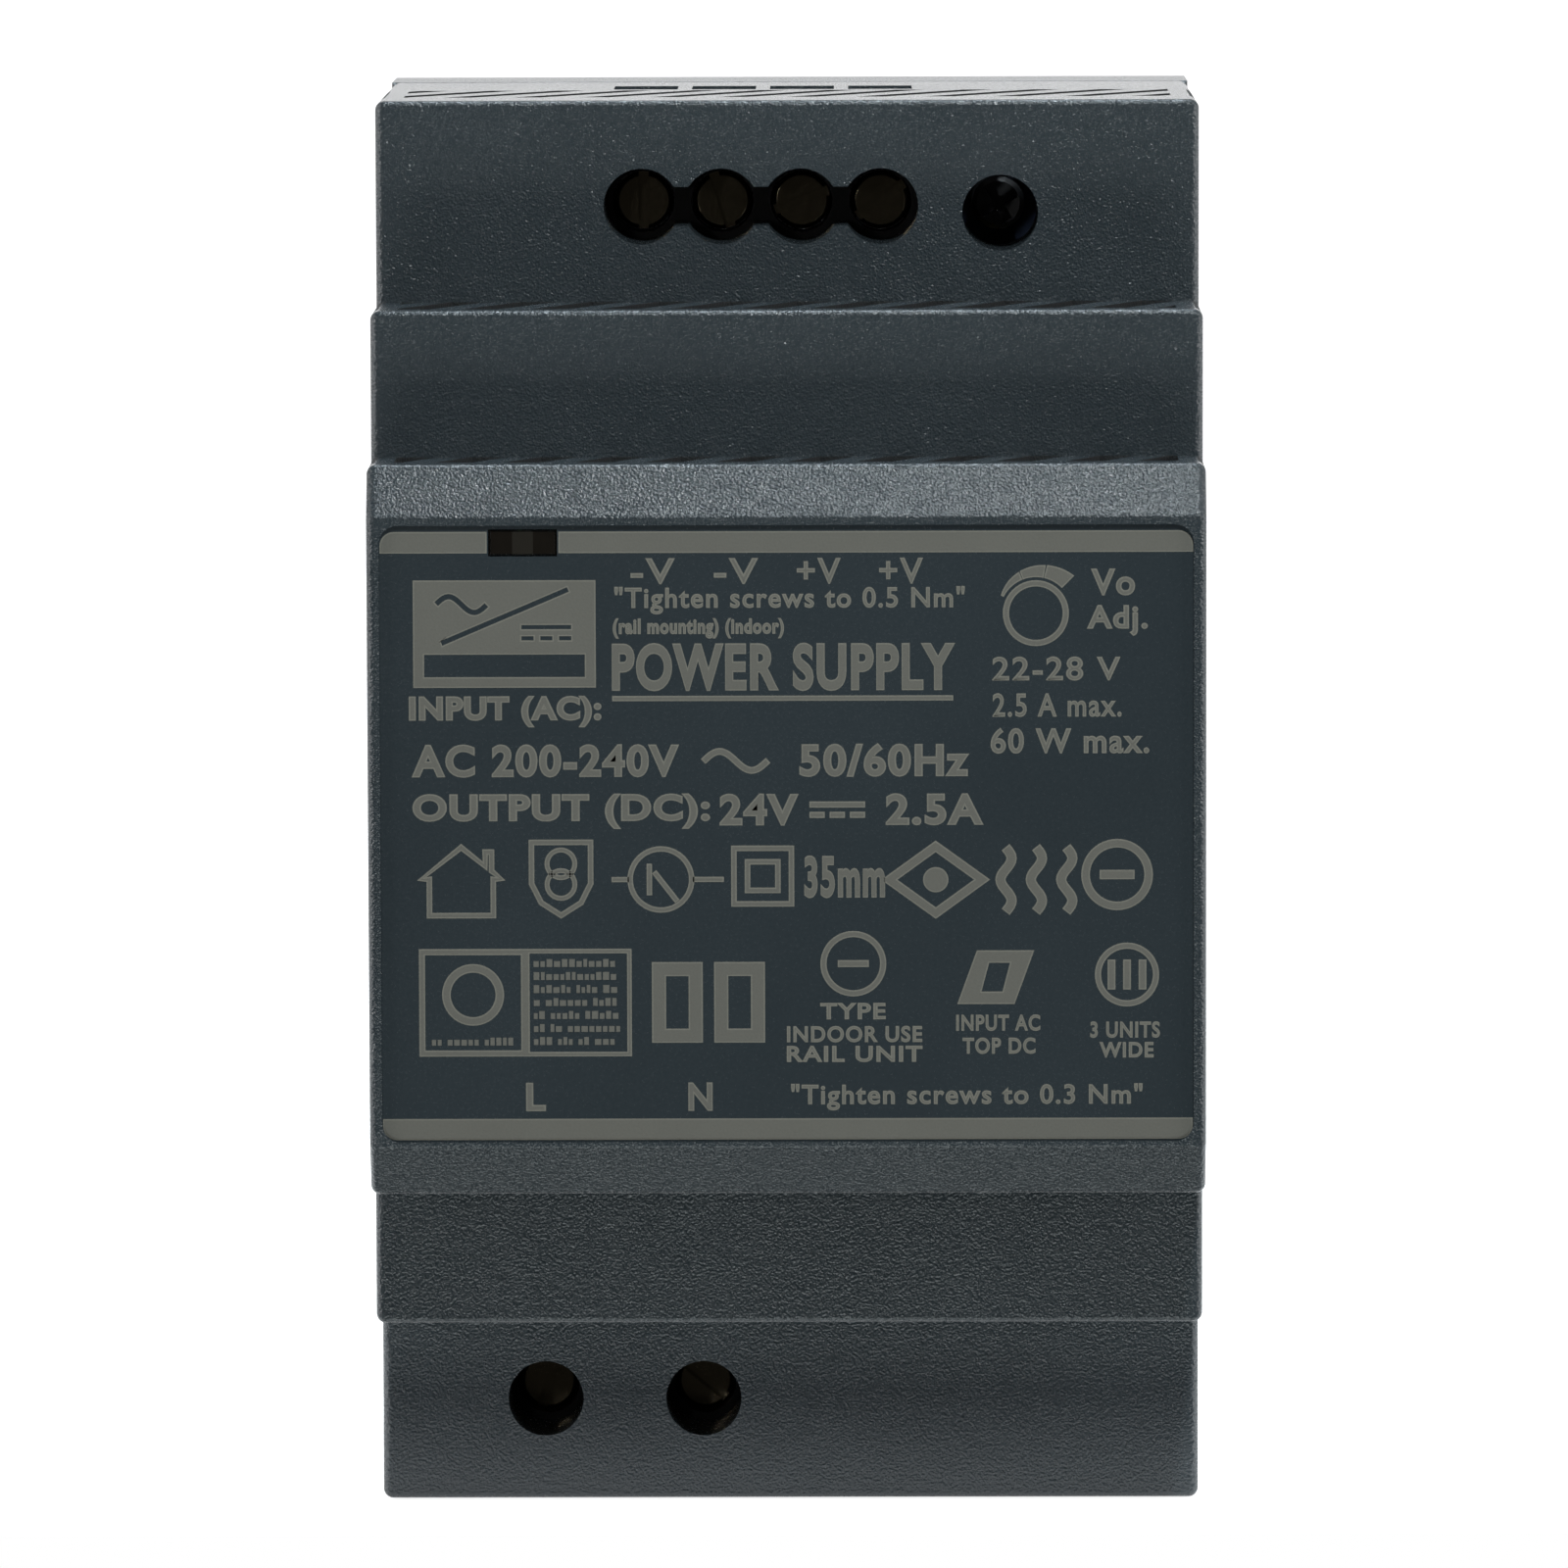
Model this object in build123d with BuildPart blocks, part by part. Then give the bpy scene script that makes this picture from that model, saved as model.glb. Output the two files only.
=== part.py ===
from build123d import *
import math
import os

# A three-module power supply that clips onto a 35 mm top-hat rail.
#
# Frame: origin at the middle of the flat that seats on the rail, +X to the right seen from
# the front, +Y into the wall, +Z up. Depths are given as "forward" distances, measured from
# the rail seat towards the reader, so forward = -Y. All sizes are in millimetres.

# ---------------------------------------------------------------- driving dimensions
WIDTH = 52.5             # three modules of 17.5
HEIGHT = 90.0
WALL = 1.6
BACK = -5.0              # the rear feet stand behind the rail seat
PARTING = 3.8            # seam between the rear base and the front shell
TERMINAL_FACE = 31.5     # front of the upper and lower terminal tiers
SHOULDER_FACE = 41.1     # front of the middle tiers
NOSE_EDGE = 47.8         # where the nose's bevel starts
NOSE_FACE = 49.5         # front of the nose
TERMINAL_STEP_Z = 32.2   # the tiers' heights above and below the middle
NOSE_STEP_Z = 23.0
NOSE_FLAT_Z = 19.8
SIDE_ROUND = 0.6         # rounding of the shell's side edges
EDGE_ROUND = 0.35        # rounding of the edges that run across the shell
SEAM_CHAMFER = 0.25      # both sides of the seam, which makes it a groove

# label field and indicator window on the nose
LABEL_W, LABEL_H, LABEL_Z = 50.9, 38.8, -0.1
LABEL_ROUND, LABEL_DEEP = 1.2, 0.25
LAMP_X, LAMP_Z, LAMP_W, LAMP_H = -16.46, 18.2, 4.3, 1.7

# screwdriver holes
HOLE_R = 2.42
NECK_H, NECK_ROUND = 2.5, 0.45         # the slot that joins the output holes
OUT_PITCH, OUT_MID_X, OUT_Z = 5.08, -1.67, 38.24
IN_PITCH, IN_MID_X, IN_Z = 10.16, -10.66, -38.5
TRIM_X, TRIM_Z = 13.58, 37.8
COLLAR = 0.8             # wall of the guide tubes behind the holes

# diagonal ventilation slots
VENT_PITCH = 4.4
VENT_SLOT, VENT_LEAN = 1.5, 35.0               # width and slant in the end faces
STEP_SLOT, STEP_LEAN = 2.2, 25.0               # width and slant on the steps
VENT_HALF_W = 24.6
VENT_BACK, VENT_FRONT = 16.5, 26.5     # forward distances of the bands in the end faces
VENT_EDGE, VENT_INNER = 0.15, WALL + 0.1   # plain strips behind and in front of a band on a step

# snap hooks between base and shell
SNAP_ZS = (-27.0, 27.0)
SNAP_W, SNAP_T = 6.0, 1.2
SNAP_BACK, SNAP_FRONT = 6.6, 8.7       # forward distances of the window in the side wall
CATCH = 1.1                            # how far the catch stands out of the hook

# rail clip
RAIL_HALF = 17.9         # half the channel for a 35 mm rail
SEAT_HALF = 15.5         # half the height of the pad that touches the rail
SEAT_RISE = 0.3
LIP_OVER = 1.7           # how far the fixed lip hangs over the rail's flange
LIP_GAP = 1.5            # room for the flange, which is 1 mm thick
LIP_LEAD, LIP_EDGE = 1.0, 0.5          # chamfers that guide the flange behind the lip
FOOT_ROUND = 0.8
LATCH_W, LATCH_SHORT = 19.6, 0.4
LATCH_OVER, LATCH_TIP = 2.2, 0.8       # how far the latch's nose reaches up, and its blunt edge
SLIDE_PLAY = 0.1
SPRING_R, SPRING_WIRE, SPRING_TURNS = 0.95, 0.17, 11
SPRING_BOTTOM, SPRING_TOP, SPRING_Y, SPRING_GAP = -38.0, -24.0, 2.9, 0.03
POST_W, POST_T, POST_BACK = 2.4, 1.4, -4.0   # the base's post that the spring pushes against

# circuit board
BOARD_W, BOARD_H, BOARD_BACK, BOARD_T = 46.0, 85.2, 5.0, 1.6
BOARD = BOARD_BACK + BOARD_T
BOSS_X, BOSS_Z, BOSS_R, PEG_R = 20.0, 40.0, 2.5, 1.5
LEAD_END = 3.7           # leads stand this far forward, just behind the board
LEAD_R, SOLDER_R, SOLDER_H = 0.35, 0.85, 0.9
PLAY = 0.2               # gap between a sealed part and its neighbours, where none is named

# terminals: forward distances with the clamp open
BAR_FRONT, BAR_T = 15.4, 0.8
CAGE_BACK, CAGE_FRONT = 10.2, 18.8
CAGE_W, CAGE_WALL, CAGE_NUT, CAGE_LONG = 4.0, 0.55, 1.6, 5.2
CAGE_ROUND = 0.5
CELL_W, CELL_LONG, ENTRY_TALL, ENTRY_DEEP = 4.16, 5.5, 5.0, 3.0
CLAMP_TRAVEL = 2.6
HEAD_BACK, HEAD_FRONT, HEAD_R, HEAD_ROUND = 21.9, 23.7, 1.85, 0.3
RING_IN, RING_OUT, RING_DEEP = 0.98, 1.16, 0.15   # groove turned into each screw head
DRIVE_W, DRIVE_DEEP = 0.65, 0.9        # driver slot
BLOCK_FRONT, BLOCK_INNER = 24.6, 5.4   # front of the moulded body, its reach inboard of a screw
BAR_W, BAR_INNER, BAR_OUTER = 2.6, 4.8, 2.5
TAIL_INNER, TAIL_R = 4.4, 0.45         # the bar's tail, which passes through the board
SCREW_R = 1.3
ENTRY_Y = -(CAGE_BACK + BAR_FRONT) / 2 + 0.2
RUNNING = 0.05           # radial clearance of turning and sliding pieces

os.makedirs("parts", exist_ok=True)
lead_spots = []          # (x, z, radius) of every lead that passes through the board


def facing(forward):
    """The plane parallel to the front at this forward distance, normal towards the front."""
    return Plane.XZ.offset(forward)


def save(piece, name):
    """Labels a finished piece and writes its STEP file."""
    piece.part.label = name
    export_step(piece.part, f"parts/{name}.step")


def out_x(pole):
    return OUT_MID_X + (pole - 1.5) * OUT_PITCH


def in_x(pole):
    return IN_MID_X + (pole - 0.5) * IN_PITCH


def stepped_outline(inset, back):
    """Side view of the shell as (y, z) points, `inset` inside the outer surface."""
    upper = [
        (-back, HEIGHT / 2 - inset),
        (-(TERMINAL_FACE - inset), HEIGHT / 2 - inset),
        (-(TERMINAL_FACE - inset), TERMINAL_STEP_Z - inset),
        (-(SHOULDER_FACE - inset), TERMINAL_STEP_Z - inset),
        (-(SHOULDER_FACE - inset), NOSE_STEP_Z - inset),
        (-(NOSE_EDGE - inset), NOSE_STEP_Z - inset),
        (-(NOSE_FACE - inset), NOSE_FLAT_Z - 0.8 * inset),
    ]
    return upper + [(y, -z) for y, z in reversed(upper)]


def block(width, height, x, z, forward, deep):
    """Adds a box: width along X, height along Z, from `forward` towards the front by `deep`."""
    with BuildSketch(facing(forward)) as outline:
        with Locations((x, z)):
            Rectangle(width, height)
    extrude(outline.sketch, amount=deep)


def cut(width, height, x, z, forward, deep):
    """Takes away a box placed as in block()."""
    with BuildSketch(facing(forward)) as outline:
        with Locations((x, z)):
            Rectangle(width, height)
    extrude(outline.sketch, amount=deep, mode=Mode.SUBTRACT)


def rod(radius, x, z, forward, deep, mode=Mode.ADD):
    """Adds or takes away a round bar along the depth."""
    with BuildSketch(facing(forward)) as outline:
        with Locations((x, z)):
            Circle(radius)
    extrude(outline.sketch, amount=deep, mode=mode)


def leads(spots, start):
    """Adds round leads from `start` back through the board, and notes their places."""
    for x, z in spots:
        rod(LEAD_R, x, z, LEAD_END, start - LEAD_END)
        lead_spots.append((x, z, LEAD_R))


# ---------------------------------------------------------------- front shell
def vent_band(z, forward_back, forward_front, deep, slot, slant):
    """Cuts a band of slanted slots through a wall that faces up or down at height z."""
    middle = -(forward_back + forward_front) / 2
    length = forward_front - forward_back
    lean = math.tan(math.radians(slant)) * length
    across = slot / math.cos(math.radians(slant)) / 2
    count = int((2 * VENT_HALF_W + lean) / VENT_PITCH) + 1
    with BuildSketch(Plane.XY.offset(z)) as slots:
        for i in range(count):
            x = (i - (count - 1) / 2) * VENT_PITCH
            front, back = middle - length / 2, middle + length / 2
            with BuildLine():
                Polyline(
                    (x - lean / 2 - across, front),
                    (x - lean / 2 + across, front),
                    (x + lean / 2 + across, back),
                    (x + lean / 2 - across, back),
                    close=True,
                )
            make_face()
        with Locations((0, middle)):
            Rectangle(2 * VENT_HALF_W, length, mode=Mode.INTERSECT)
    extrude(slots.sketch, amount=deep, mode=Mode.SUBTRACT)


def output_holes(radius, neck):
    """The four output holes with the necks that join them, on the current sketch."""
    with Locations(*[(out_x(i), OUT_Z) for i in range(4)]):
        Circle(radius)
    with Locations((OUT_MID_X, OUT_Z)):
        Rectangle(3 * OUT_PITCH, neck)


with BuildPart() as front_shell:
    with BuildSketch(Plane.YZ):
        with BuildLine():
            Polyline(*stepped_outline(0, PARTING), close=True)
        make_face()
    extrude(amount=WIDTH / 2, both=True)
    across = front_shell.edges().filter_by(Axis.X)
    convex = [
        e for e in across
        if -e.center().Y > PARTING + 1
        and (abs(e.center().Z), -e.center().Y)
        not in [(TERMINAL_STEP_Z, TERMINAL_FACE), (NOSE_STEP_Z, SHOULDER_FACE)]
    ]
    fillet(convex, EDGE_ROUND)
    sides = front_shell.faces().filter_by(Axis.X).sort_by(Axis.X)
    rims = [
        e for f in (sides[0], sides[-1]) for e in f.edges()
        if -e.center().Y > PARTING + 0.01
    ]
    fillet(rims, SIDE_ROUND)
    with BuildSketch(Plane.YZ):
        with BuildLine():
            Polyline(*stepped_outline(WALL, PARTING), close=True)
        make_face()
    extrude(amount=WIDTH / 2 - WALL, both=True, mode=Mode.SUBTRACT)
    # seam groove along the parting plane
    seam = front_shell.faces().sort_by(Axis.Y)[-1]
    chamfer(seam.outer_wire().edges(), SEAM_CHAMFER)
    # guide tubes behind the screwdriver holes
    inner = TERMINAL_FACE - WALL
    with BuildSketch(facing(inner)):
        output_holes(HOLE_R + COLLAR, NECK_H + 2 * COLLAR)
    extrude(amount=-(inner - BLOCK_FRONT - PLAY))
    for x, z in ((TRIM_X, TRIM_Z), (in_x(0), IN_Z), (in_x(1), IN_Z)):
        rod(HOLE_R + COLLAR, x, z, BLOCK_FRONT + PLAY, inner - BLOCK_FRONT - PLAY)
    with BuildSketch(facing(TERMINAL_FACE)) as chain:
        output_holes(HOLE_R, NECK_H)
        corners = chain.vertices().filter_by(
            lambda v: abs(abs(v.Z - OUT_Z) - NECK_H / 2) < 0.05
        )
        fillet(corners, NECK_ROUND)
    extrude(amount=-(TERMINAL_FACE - BLOCK_FRONT), mode=Mode.SUBTRACT)
    for x, z in ((TRIM_X, TRIM_Z), (in_x(0), IN_Z), (in_x(1), IN_Z)):
        rod(HOLE_R, x, z, BLOCK_FRONT, TERMINAL_FACE - BLOCK_FRONT, Mode.SUBTRACT)
    # label field and indicator window
    with BuildSketch(facing(NOSE_FACE)):
        with Locations((0, LABEL_Z)):
            RectangleRounded(LABEL_W, LABEL_H, LABEL_ROUND)
    extrude(amount=-LABEL_DEEP, mode=Mode.SUBTRACT)
    cut(LAMP_W, LAMP_H, LAMP_X, LAMP_Z, NOSE_FACE - WALL - 1, WALL + 1)
    # wire entries in the upper and lower faces
    with BuildSketch(Plane.XY.offset(HEIGHT / 2)):
        with Locations(*[(out_x(i), ENTRY_Y) for i in range(4)]):
            Rectangle(CELL_W, ENTRY_TALL)
    extrude(amount=-WALL, mode=Mode.SUBTRACT)
    with BuildSketch(Plane.XY.offset(-HEIGHT / 2)):
        with Locations(*[(in_x(i), ENTRY_Y) for i in range(2)]):
            Rectangle(CELL_W, ENTRY_TALL)
    extrude(amount=WALL, mode=Mode.SUBTRACT)
    # ventilation slots in every face that looks up or down
    for sign in (1, -1):
        through = -sign * (WALL + 0.2)
        vent_band(sign * HEIGHT / 2, VENT_BACK, VENT_FRONT, through, VENT_SLOT, VENT_LEAN)
        vent_band(sign * TERMINAL_STEP_Z, TERMINAL_FACE + VENT_EDGE, SHOULDER_FACE - VENT_INNER,
                  through, STEP_SLOT, STEP_LEAN)
        vent_band(sign * NOSE_STEP_Z, SHOULDER_FACE + VENT_EDGE, NOSE_EDGE - VENT_INNER, through,
                  STEP_SLOT, STEP_LEAN)
    # windows for the base's snap hooks, right through both sides
    with BuildSketch(Plane.YZ):
        with Locations(*[(-(SNAP_BACK + SNAP_FRONT) / 2, z) for z in SNAP_ZS]):
            Rectangle(SNAP_FRONT - SNAP_BACK, SNAP_W + 0.6)
    extrude(amount=WIDTH / 2 + 1, both=True, mode=Mode.SUBTRACT)
save(front_shell, "front_shell")


# ---------------------------------------------------------------- rear base
FLOOR_MID = 1.8          # forward distance of the floor inside, behind the board
SLOT_WALL = 1.8          # wall on each side of the latch's slot
SLOT_HALF, MOUTH_HALF = 12.0, 10.0
SLOT_NEAR, SLOT_STEP = -1.6, -3.0
CAVITY_BACK = BACK + WALL

with BuildPart() as rear_base:
    lip_bottom = RAIL_HALF - LIP_OVER
    with BuildSketch(Plane.YZ):
        with BuildLine():
            Polyline(
                (-PARTING, HEIGHT / 2),
                (-BACK, HEIGHT / 2),
                (-BACK, lip_bottom + LIP_LEAD),
                (-BACK - LIP_LEAD, lip_bottom),
                (LIP_GAP + LIP_EDGE, lip_bottom),
                (LIP_GAP, lip_bottom + LIP_EDGE),
                (LIP_GAP, RAIL_HALF),
                (-SEAT_RISE, RAIL_HALF),
                (-SEAT_RISE, SEAT_HALF),
                (0, SEAT_HALF),
                (0, -SEAT_HALF),
                (-SEAT_RISE, -SEAT_HALF),
                (-SEAT_RISE, -RAIL_HALF),
                (-BACK, -RAIL_HALF),
                (-BACK, -HEIGHT / 2),
                (-PARTING, -HEIGHT / 2),
                close=True,
            )
        make_face()
    extrude(amount=WIDTH / 2, both=True)
    back_rims = [
        e for e in rear_base.edges()
        if e.center().Y > -BACK - 0.01 and abs(e.center().Z) > RAIL_HALF
    ]
    fillet(back_rims, FOOT_ROUND)
    seam = rear_base.faces().sort_by(Axis.Y)[0]
    chamfer(seam.outer_wire().edges(), SEAM_CHAMFER)
    inside_w, inside_h = WIDTH - 2 * WALL, HEIGHT - 2 * WALL
    # shallow tray behind the board, and the hollow upper foot
    cut(inside_w, inside_h, 0, 0, FLOOR_MID, PARTING - FLOOR_MID)
    foot_low, foot_high = RAIL_HALF + WALL, HEIGHT / 2 - WALL
    foot_mid, foot_h = (foot_low + foot_high) / 2, foot_high - foot_low
    cut(inside_w, foot_h, 0, foot_mid, CAVITY_BACK, FLOOR_MID - CAVITY_BACK)
    # the lower foot is hollow on both sides of the latch and shallow above it
    side_w = WIDTH / 2 - WALL - SLOT_HALF - SLOT_WALL
    for side in (-1, 1):
        x = side * (SLOT_HALF + SLOT_WALL + side_w / 2)
        cut(side_w, foot_h, x, -foot_mid, CAVITY_BACK, FLOOR_MID - CAVITY_BACK)
    cut(2 * (SLOT_HALF + SLOT_WALL), foot_h, 0, -foot_mid, 0, FLOOR_MID)
    # T-shaped slot for the latch, open at both ends
    slot_low, slot_high = -HEIGHT / 2 - 1, -RAIL_HALF + 1
    slot_mid, slot_h = (slot_low + slot_high) / 2, slot_high - slot_low
    cut(2 * SLOT_HALF, slot_h, 0, slot_mid, SLOT_STEP, SLOT_NEAR - SLOT_STEP)
    cut(2 * MOUTH_HALF, slot_h, 0, slot_mid, BACK - 1, SLOT_STEP - BACK + 1)
    # post that the latch spring pushes against, which is also the latch's stop
    block(POST_W, POST_T, 0, SPRING_BOTTOM - POST_T / 2, POST_BACK, SLOT_NEAR - POST_BACK)
    # bosses with pegs for the board
    for x in (-BOSS_X, BOSS_X):
        for z in (-BOSS_Z, BOSS_Z):
            rod(BOSS_R, x, z, CAVITY_BACK, BOARD_BACK - CAVITY_BACK)
            rod(PEG_R, x, z, BOARD_BACK, BOARD_T)
    # snap hooks that reach into the shell's side windows
    for side in (-1, 1):
        for z in SNAP_ZS:
            outer = WIDTH / 2 - WALL - 0.1
            x = side * (outer - SNAP_T / 2)
            block(SNAP_T, SNAP_W, x, z, FLOOR_MID, SNAP_FRONT + 0.3 - FLOOR_MID)
            # the catch has a flat back and a sloped front
            with BuildSketch(Plane.XY.offset(z - SNAP_W / 2)):
                with BuildLine():
                    Polyline(
                        (side * (outer - 0.2), -(SNAP_BACK + 0.15)),
                        (side * (outer + CATCH), -(SNAP_BACK + 0.15)),
                        (side * (outer + CATCH), -(SNAP_BACK + 0.8)),
                        (side * (outer - 0.2), -(SNAP_FRONT + 0.2)),
                        close=True,
                    )
                make_face()
            extrude(amount=SNAP_W)
            # the hook's root joins the side wall of the base
            root_back = 1.0
            block(SNAP_T + 0.2, SNAP_W, x + side * 0.1, z, root_back, PARTING - 0.2 - root_back)
save(rear_base, "rear_base")


# ---------------------------------------------------------------- rail latch and its spring
with BuildPart() as rail_latch:
    near, step = SLOT_NEAR - SLIDE_PLAY, SLOT_STEP + SLIDE_PLAY
    heel = BACK + 2 * SLIDE_PLAY
    top, bottom = -RAIL_HALF - 2 * SLIDE_PLAY, -HEIGHT / 2 + LATCH_SHORT
    mid, tall = (top + bottom) / 2, top - bottom
    block(LATCH_W, tall, 0, mid, heel, near - heel)
    block(2 * SLOT_HALF - 4 * SLIDE_PLAY, tall, 0, mid, step, near - step)
    # nose that holds the rail's lower flange, sloped so that the rail pushes it aside
    nose_top = -RAIL_HALF + LATCH_OVER
    with BuildSketch(Plane.YZ.offset(-LATCH_W / 2)):
        with BuildLine():
            Polyline(
                (-near, nose_top),
                (-near + LATCH_TIP, nose_top),
                (-heel, top),
                (-near, top),
                close=True,
            )
        make_face()
    extrude(amount=LATCH_W)
    # pocket for the spring and the base's post
    pocket_low, pocket_high = SPRING_BOTTOM - POST_T - SLIDE_PLAY, SPRING_TOP
    pocket_mid, pocket_h = (pocket_low + pocket_high) / 2, pocket_high - pocket_low
    pocket_back = POST_BACK - 2 * SLIDE_PLAY
    cut(POST_W + 4 * SLIDE_PLAY, pocket_h, 0, pocket_mid, pocket_back, near - pocket_back)
    # screwdriver slot near the lower end, and grip grooves
    pry_w, pry_h, pry_up, pry_deep = 7.0, 1.6, 2.2, 4.0
    cut(pry_w, pry_h, 0, bottom + pry_up, BACK, pry_deep)
    grip_top, grip_pitch, grip_h, grip_deep = -27.0, 1.6, 0.5, 0.6
    for i in range(3):
        cut(LATCH_W, grip_h, 0, grip_top - grip_pitch * i, BACK, grip_deep)
save(rail_latch, "rail_latch")

with BuildPart() as latch_spring:
    coil_low = SPRING_BOTTOM + SPRING_WIRE + SPRING_GAP
    coil_h = SPRING_TOP - SPRING_BOTTOM - 2 * (SPRING_WIRE + SPRING_GAP)
    pitch = coil_h / SPRING_TURNS
    with BuildLine():
        path = Helix(pitch, coil_h, SPRING_R, center=(0, SPRING_Y, coil_low))
    with BuildSketch(Plane(origin=path @ 0, z_dir=path % 0)):
        Circle(SPRING_WIRE)
    sweep(path=path, is_frenet=True)
save(latch_spring, "latch_spring")


# ---------------------------------------------------------------- terminals
def terminal_block(name, xs, z, up, left, right):
    """Moulded body. `up` is 1 where the wires enter from above and -1 from below."""
    near, far = z - up * BLOCK_INNER, up * (HEIGHT / 2 - WALL - PLAY)
    with BuildPart() as body:
        block(right - left, abs(far - near), (left + right) / 2, (near + far) / 2,
              BOARD, BLOCK_FRONT - BOARD)
        edge_lines = body.edges().filter_by(Axis.Y)
        chamfer(edge_lines, 0.4)
        for x in xs:
            # cell for the clamp, with room for its travel
            cell_back = CAGE_BACK - PLAY
            cut(CELL_W, CELL_LONG, x, z, cell_back, CAGE_FRONT + CLAMP_TRAVEL + PLAY - cell_back)
            # well for the screw's head
            well_back = HEAD_BACK - 0.6
            rod(HEAD_R + 0.15, x, z, well_back, BLOCK_FRONT - well_back, Mode.SUBTRACT)
            # wire entry
            with BuildSketch(Plane.XY.offset(far)):
                with Locations((x, ENTRY_Y)):
                    Rectangle(CELL_W, ENTRY_TALL)
            extrude(amount=-up * ENTRY_DEEP, mode=Mode.SUBTRACT)
            # slot for the contact bar and its tail
            tail_from, tail_to = CELL_LONG / 2 - 0.3, BAR_INNER + 0.15
            cut(BAR_W + 0.3, tail_to - tail_from, x, z - up * (tail_from + tail_to) / 2, BOARD,
                BAR_FRONT + 0.1 - BOARD)
    save(body, name)


def contact_bars(name, xs, z, up):
    """One bent strip per pole: the bar inside the clamp and a tail through the board."""
    with BuildPart() as bars:
        for x in xs:
            low, high = z - up * BAR_INNER, z + up * BAR_OUTER
            tail_z, tail_foot = z - up * TAIL_INNER, BOARD + 0.8
            block(BAR_W, abs(high - low), x, (low + high) / 2, BAR_FRONT - BAR_T, BAR_T)
            block(BAR_W, BAR_T, x, tail_z, tail_foot, BAR_FRONT - tail_foot)
            rod(TAIL_R, x, tail_z, LEAD_END, tail_foot + 0.1 - LEAD_END)
            lead_spots.append((x, tail_z, TAIL_R))
    save(bars, name)


def terminal_screw(name, x, z, slot_deg):
    """Slotted cheese-head screw that bears on the contact bar."""
    with BuildPart() as screw:
        rod(HEAD_R, x, z, HEAD_BACK, HEAD_FRONT - HEAD_BACK)
        rim = screw.edges().filter_by(GeomType.CIRCLE).sort_by(Axis.Y)[0]
        fillet(rim, HEAD_ROUND)
        shank_end = BAR_FRONT + RUNNING
        rod(SCREW_R, x, z, shank_end, HEAD_BACK - shank_end)
        # turned ring, and the driver slot across it
        with BuildSketch(facing(HEAD_FRONT - RING_DEEP)):
            with Locations((x, z)):
                Circle(RING_OUT)
                Circle(RING_IN, mode=Mode.SUBTRACT)
        extrude(amount=2 * RING_DEEP, mode=Mode.SUBTRACT)
        with BuildSketch(facing(HEAD_FRONT - DRIVE_DEEP)):
            with Locations(Location((x, z), slot_deg)):
                Rectangle(2 * HEAD_R + 1, DRIVE_W)
        extrude(amount=2 * DRIVE_DEEP, mode=Mode.SUBTRACT)
    save(screw, name)


def clamp_cage(name, x, z):
    """Square cage with a threaded front wall, which rises as the screw is tightened."""
    with BuildPart() as cage:
        block(CAGE_W, CAGE_LONG, x, z, CAGE_BACK, CAGE_FRONT - CAGE_BACK)
        fillet(cage.edges().filter_by(Axis.Z), CAGE_ROUND)
        cut(CAGE_W - 2 * CAGE_WALL, CAGE_LONG + 1, x, z, CAGE_BACK + CAGE_WALL,
            CAGE_FRONT - CAGE_NUT - CAGE_BACK - CAGE_WALL)
        rod(SCREW_R + RUNNING, x, z, CAGE_FRONT - CAGE_NUT - 1, CAGE_NUT + 2, Mode.SUBTRACT)
        # ribs on the back wall that bite into the wire
        rib_t, rib_tall, rib_pitch = 0.4, 0.2, 1.4
        for i in (-1, 0, 1):
            block(BAR_W, rib_t, x, z + rib_pitch * i, CAGE_BACK + CAGE_WALL, rib_tall)
    save(cage, name)


OUT_XS = [out_x(i) for i in range(4)]
IN_XS = [in_x(i) for i in range(2)]
OUT_MARGIN, IN_MARGIN = 2.95, 4.4      # from the outermost screws to the ends of the bodies
terminal_block("output_terminal_body", OUT_XS, OUT_Z, 1,
               OUT_XS[0] - OUT_MARGIN, OUT_XS[-1] + OUT_MARGIN)
terminal_block("input_terminal_body", IN_XS, IN_Z, -1,
               IN_XS[0] - IN_MARGIN, IN_XS[-1] + IN_MARGIN)
contact_bars("output_contact_bars", OUT_XS, OUT_Z, 1)
contact_bars("input_contact_bars", IN_XS, IN_Z, -1)
OUT_SLOTS = (90, 108, 20, 35)   # how each screw's slot happens to stand
IN_SLOTS = (75, 140)
for i, x in enumerate(OUT_XS):
    terminal_screw(f"output_screw_{i + 1}", x, OUT_Z, OUT_SLOTS[i])
    clamp_cage(f"output_clamp_{i + 1}", x, OUT_Z)
for i, x in enumerate(IN_XS):
    terminal_screw(f"input_screw_{i + 1}", x, IN_Z, IN_SLOTS[i])
    clamp_cage(f"input_clamp_{i + 1}", x, IN_Z)


# ---------------------------------------------------------------- voltage trimmer
TRIM_BODY, TRIM_TALL, TRIM_LEAD = 7.4, 5.0, 2.5
ROTOR_R, ROTOR_FOOT, ROTOR_TIP = 1.7, 1.5, 19.5
CROSS_LONG, CROSS_W, CROSS_DEEP, CROSS_TURN = 2.6, 0.6, 1.2, 30
STAND_OFF = 0.3                        # moulded parts stand this far off the board

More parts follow.
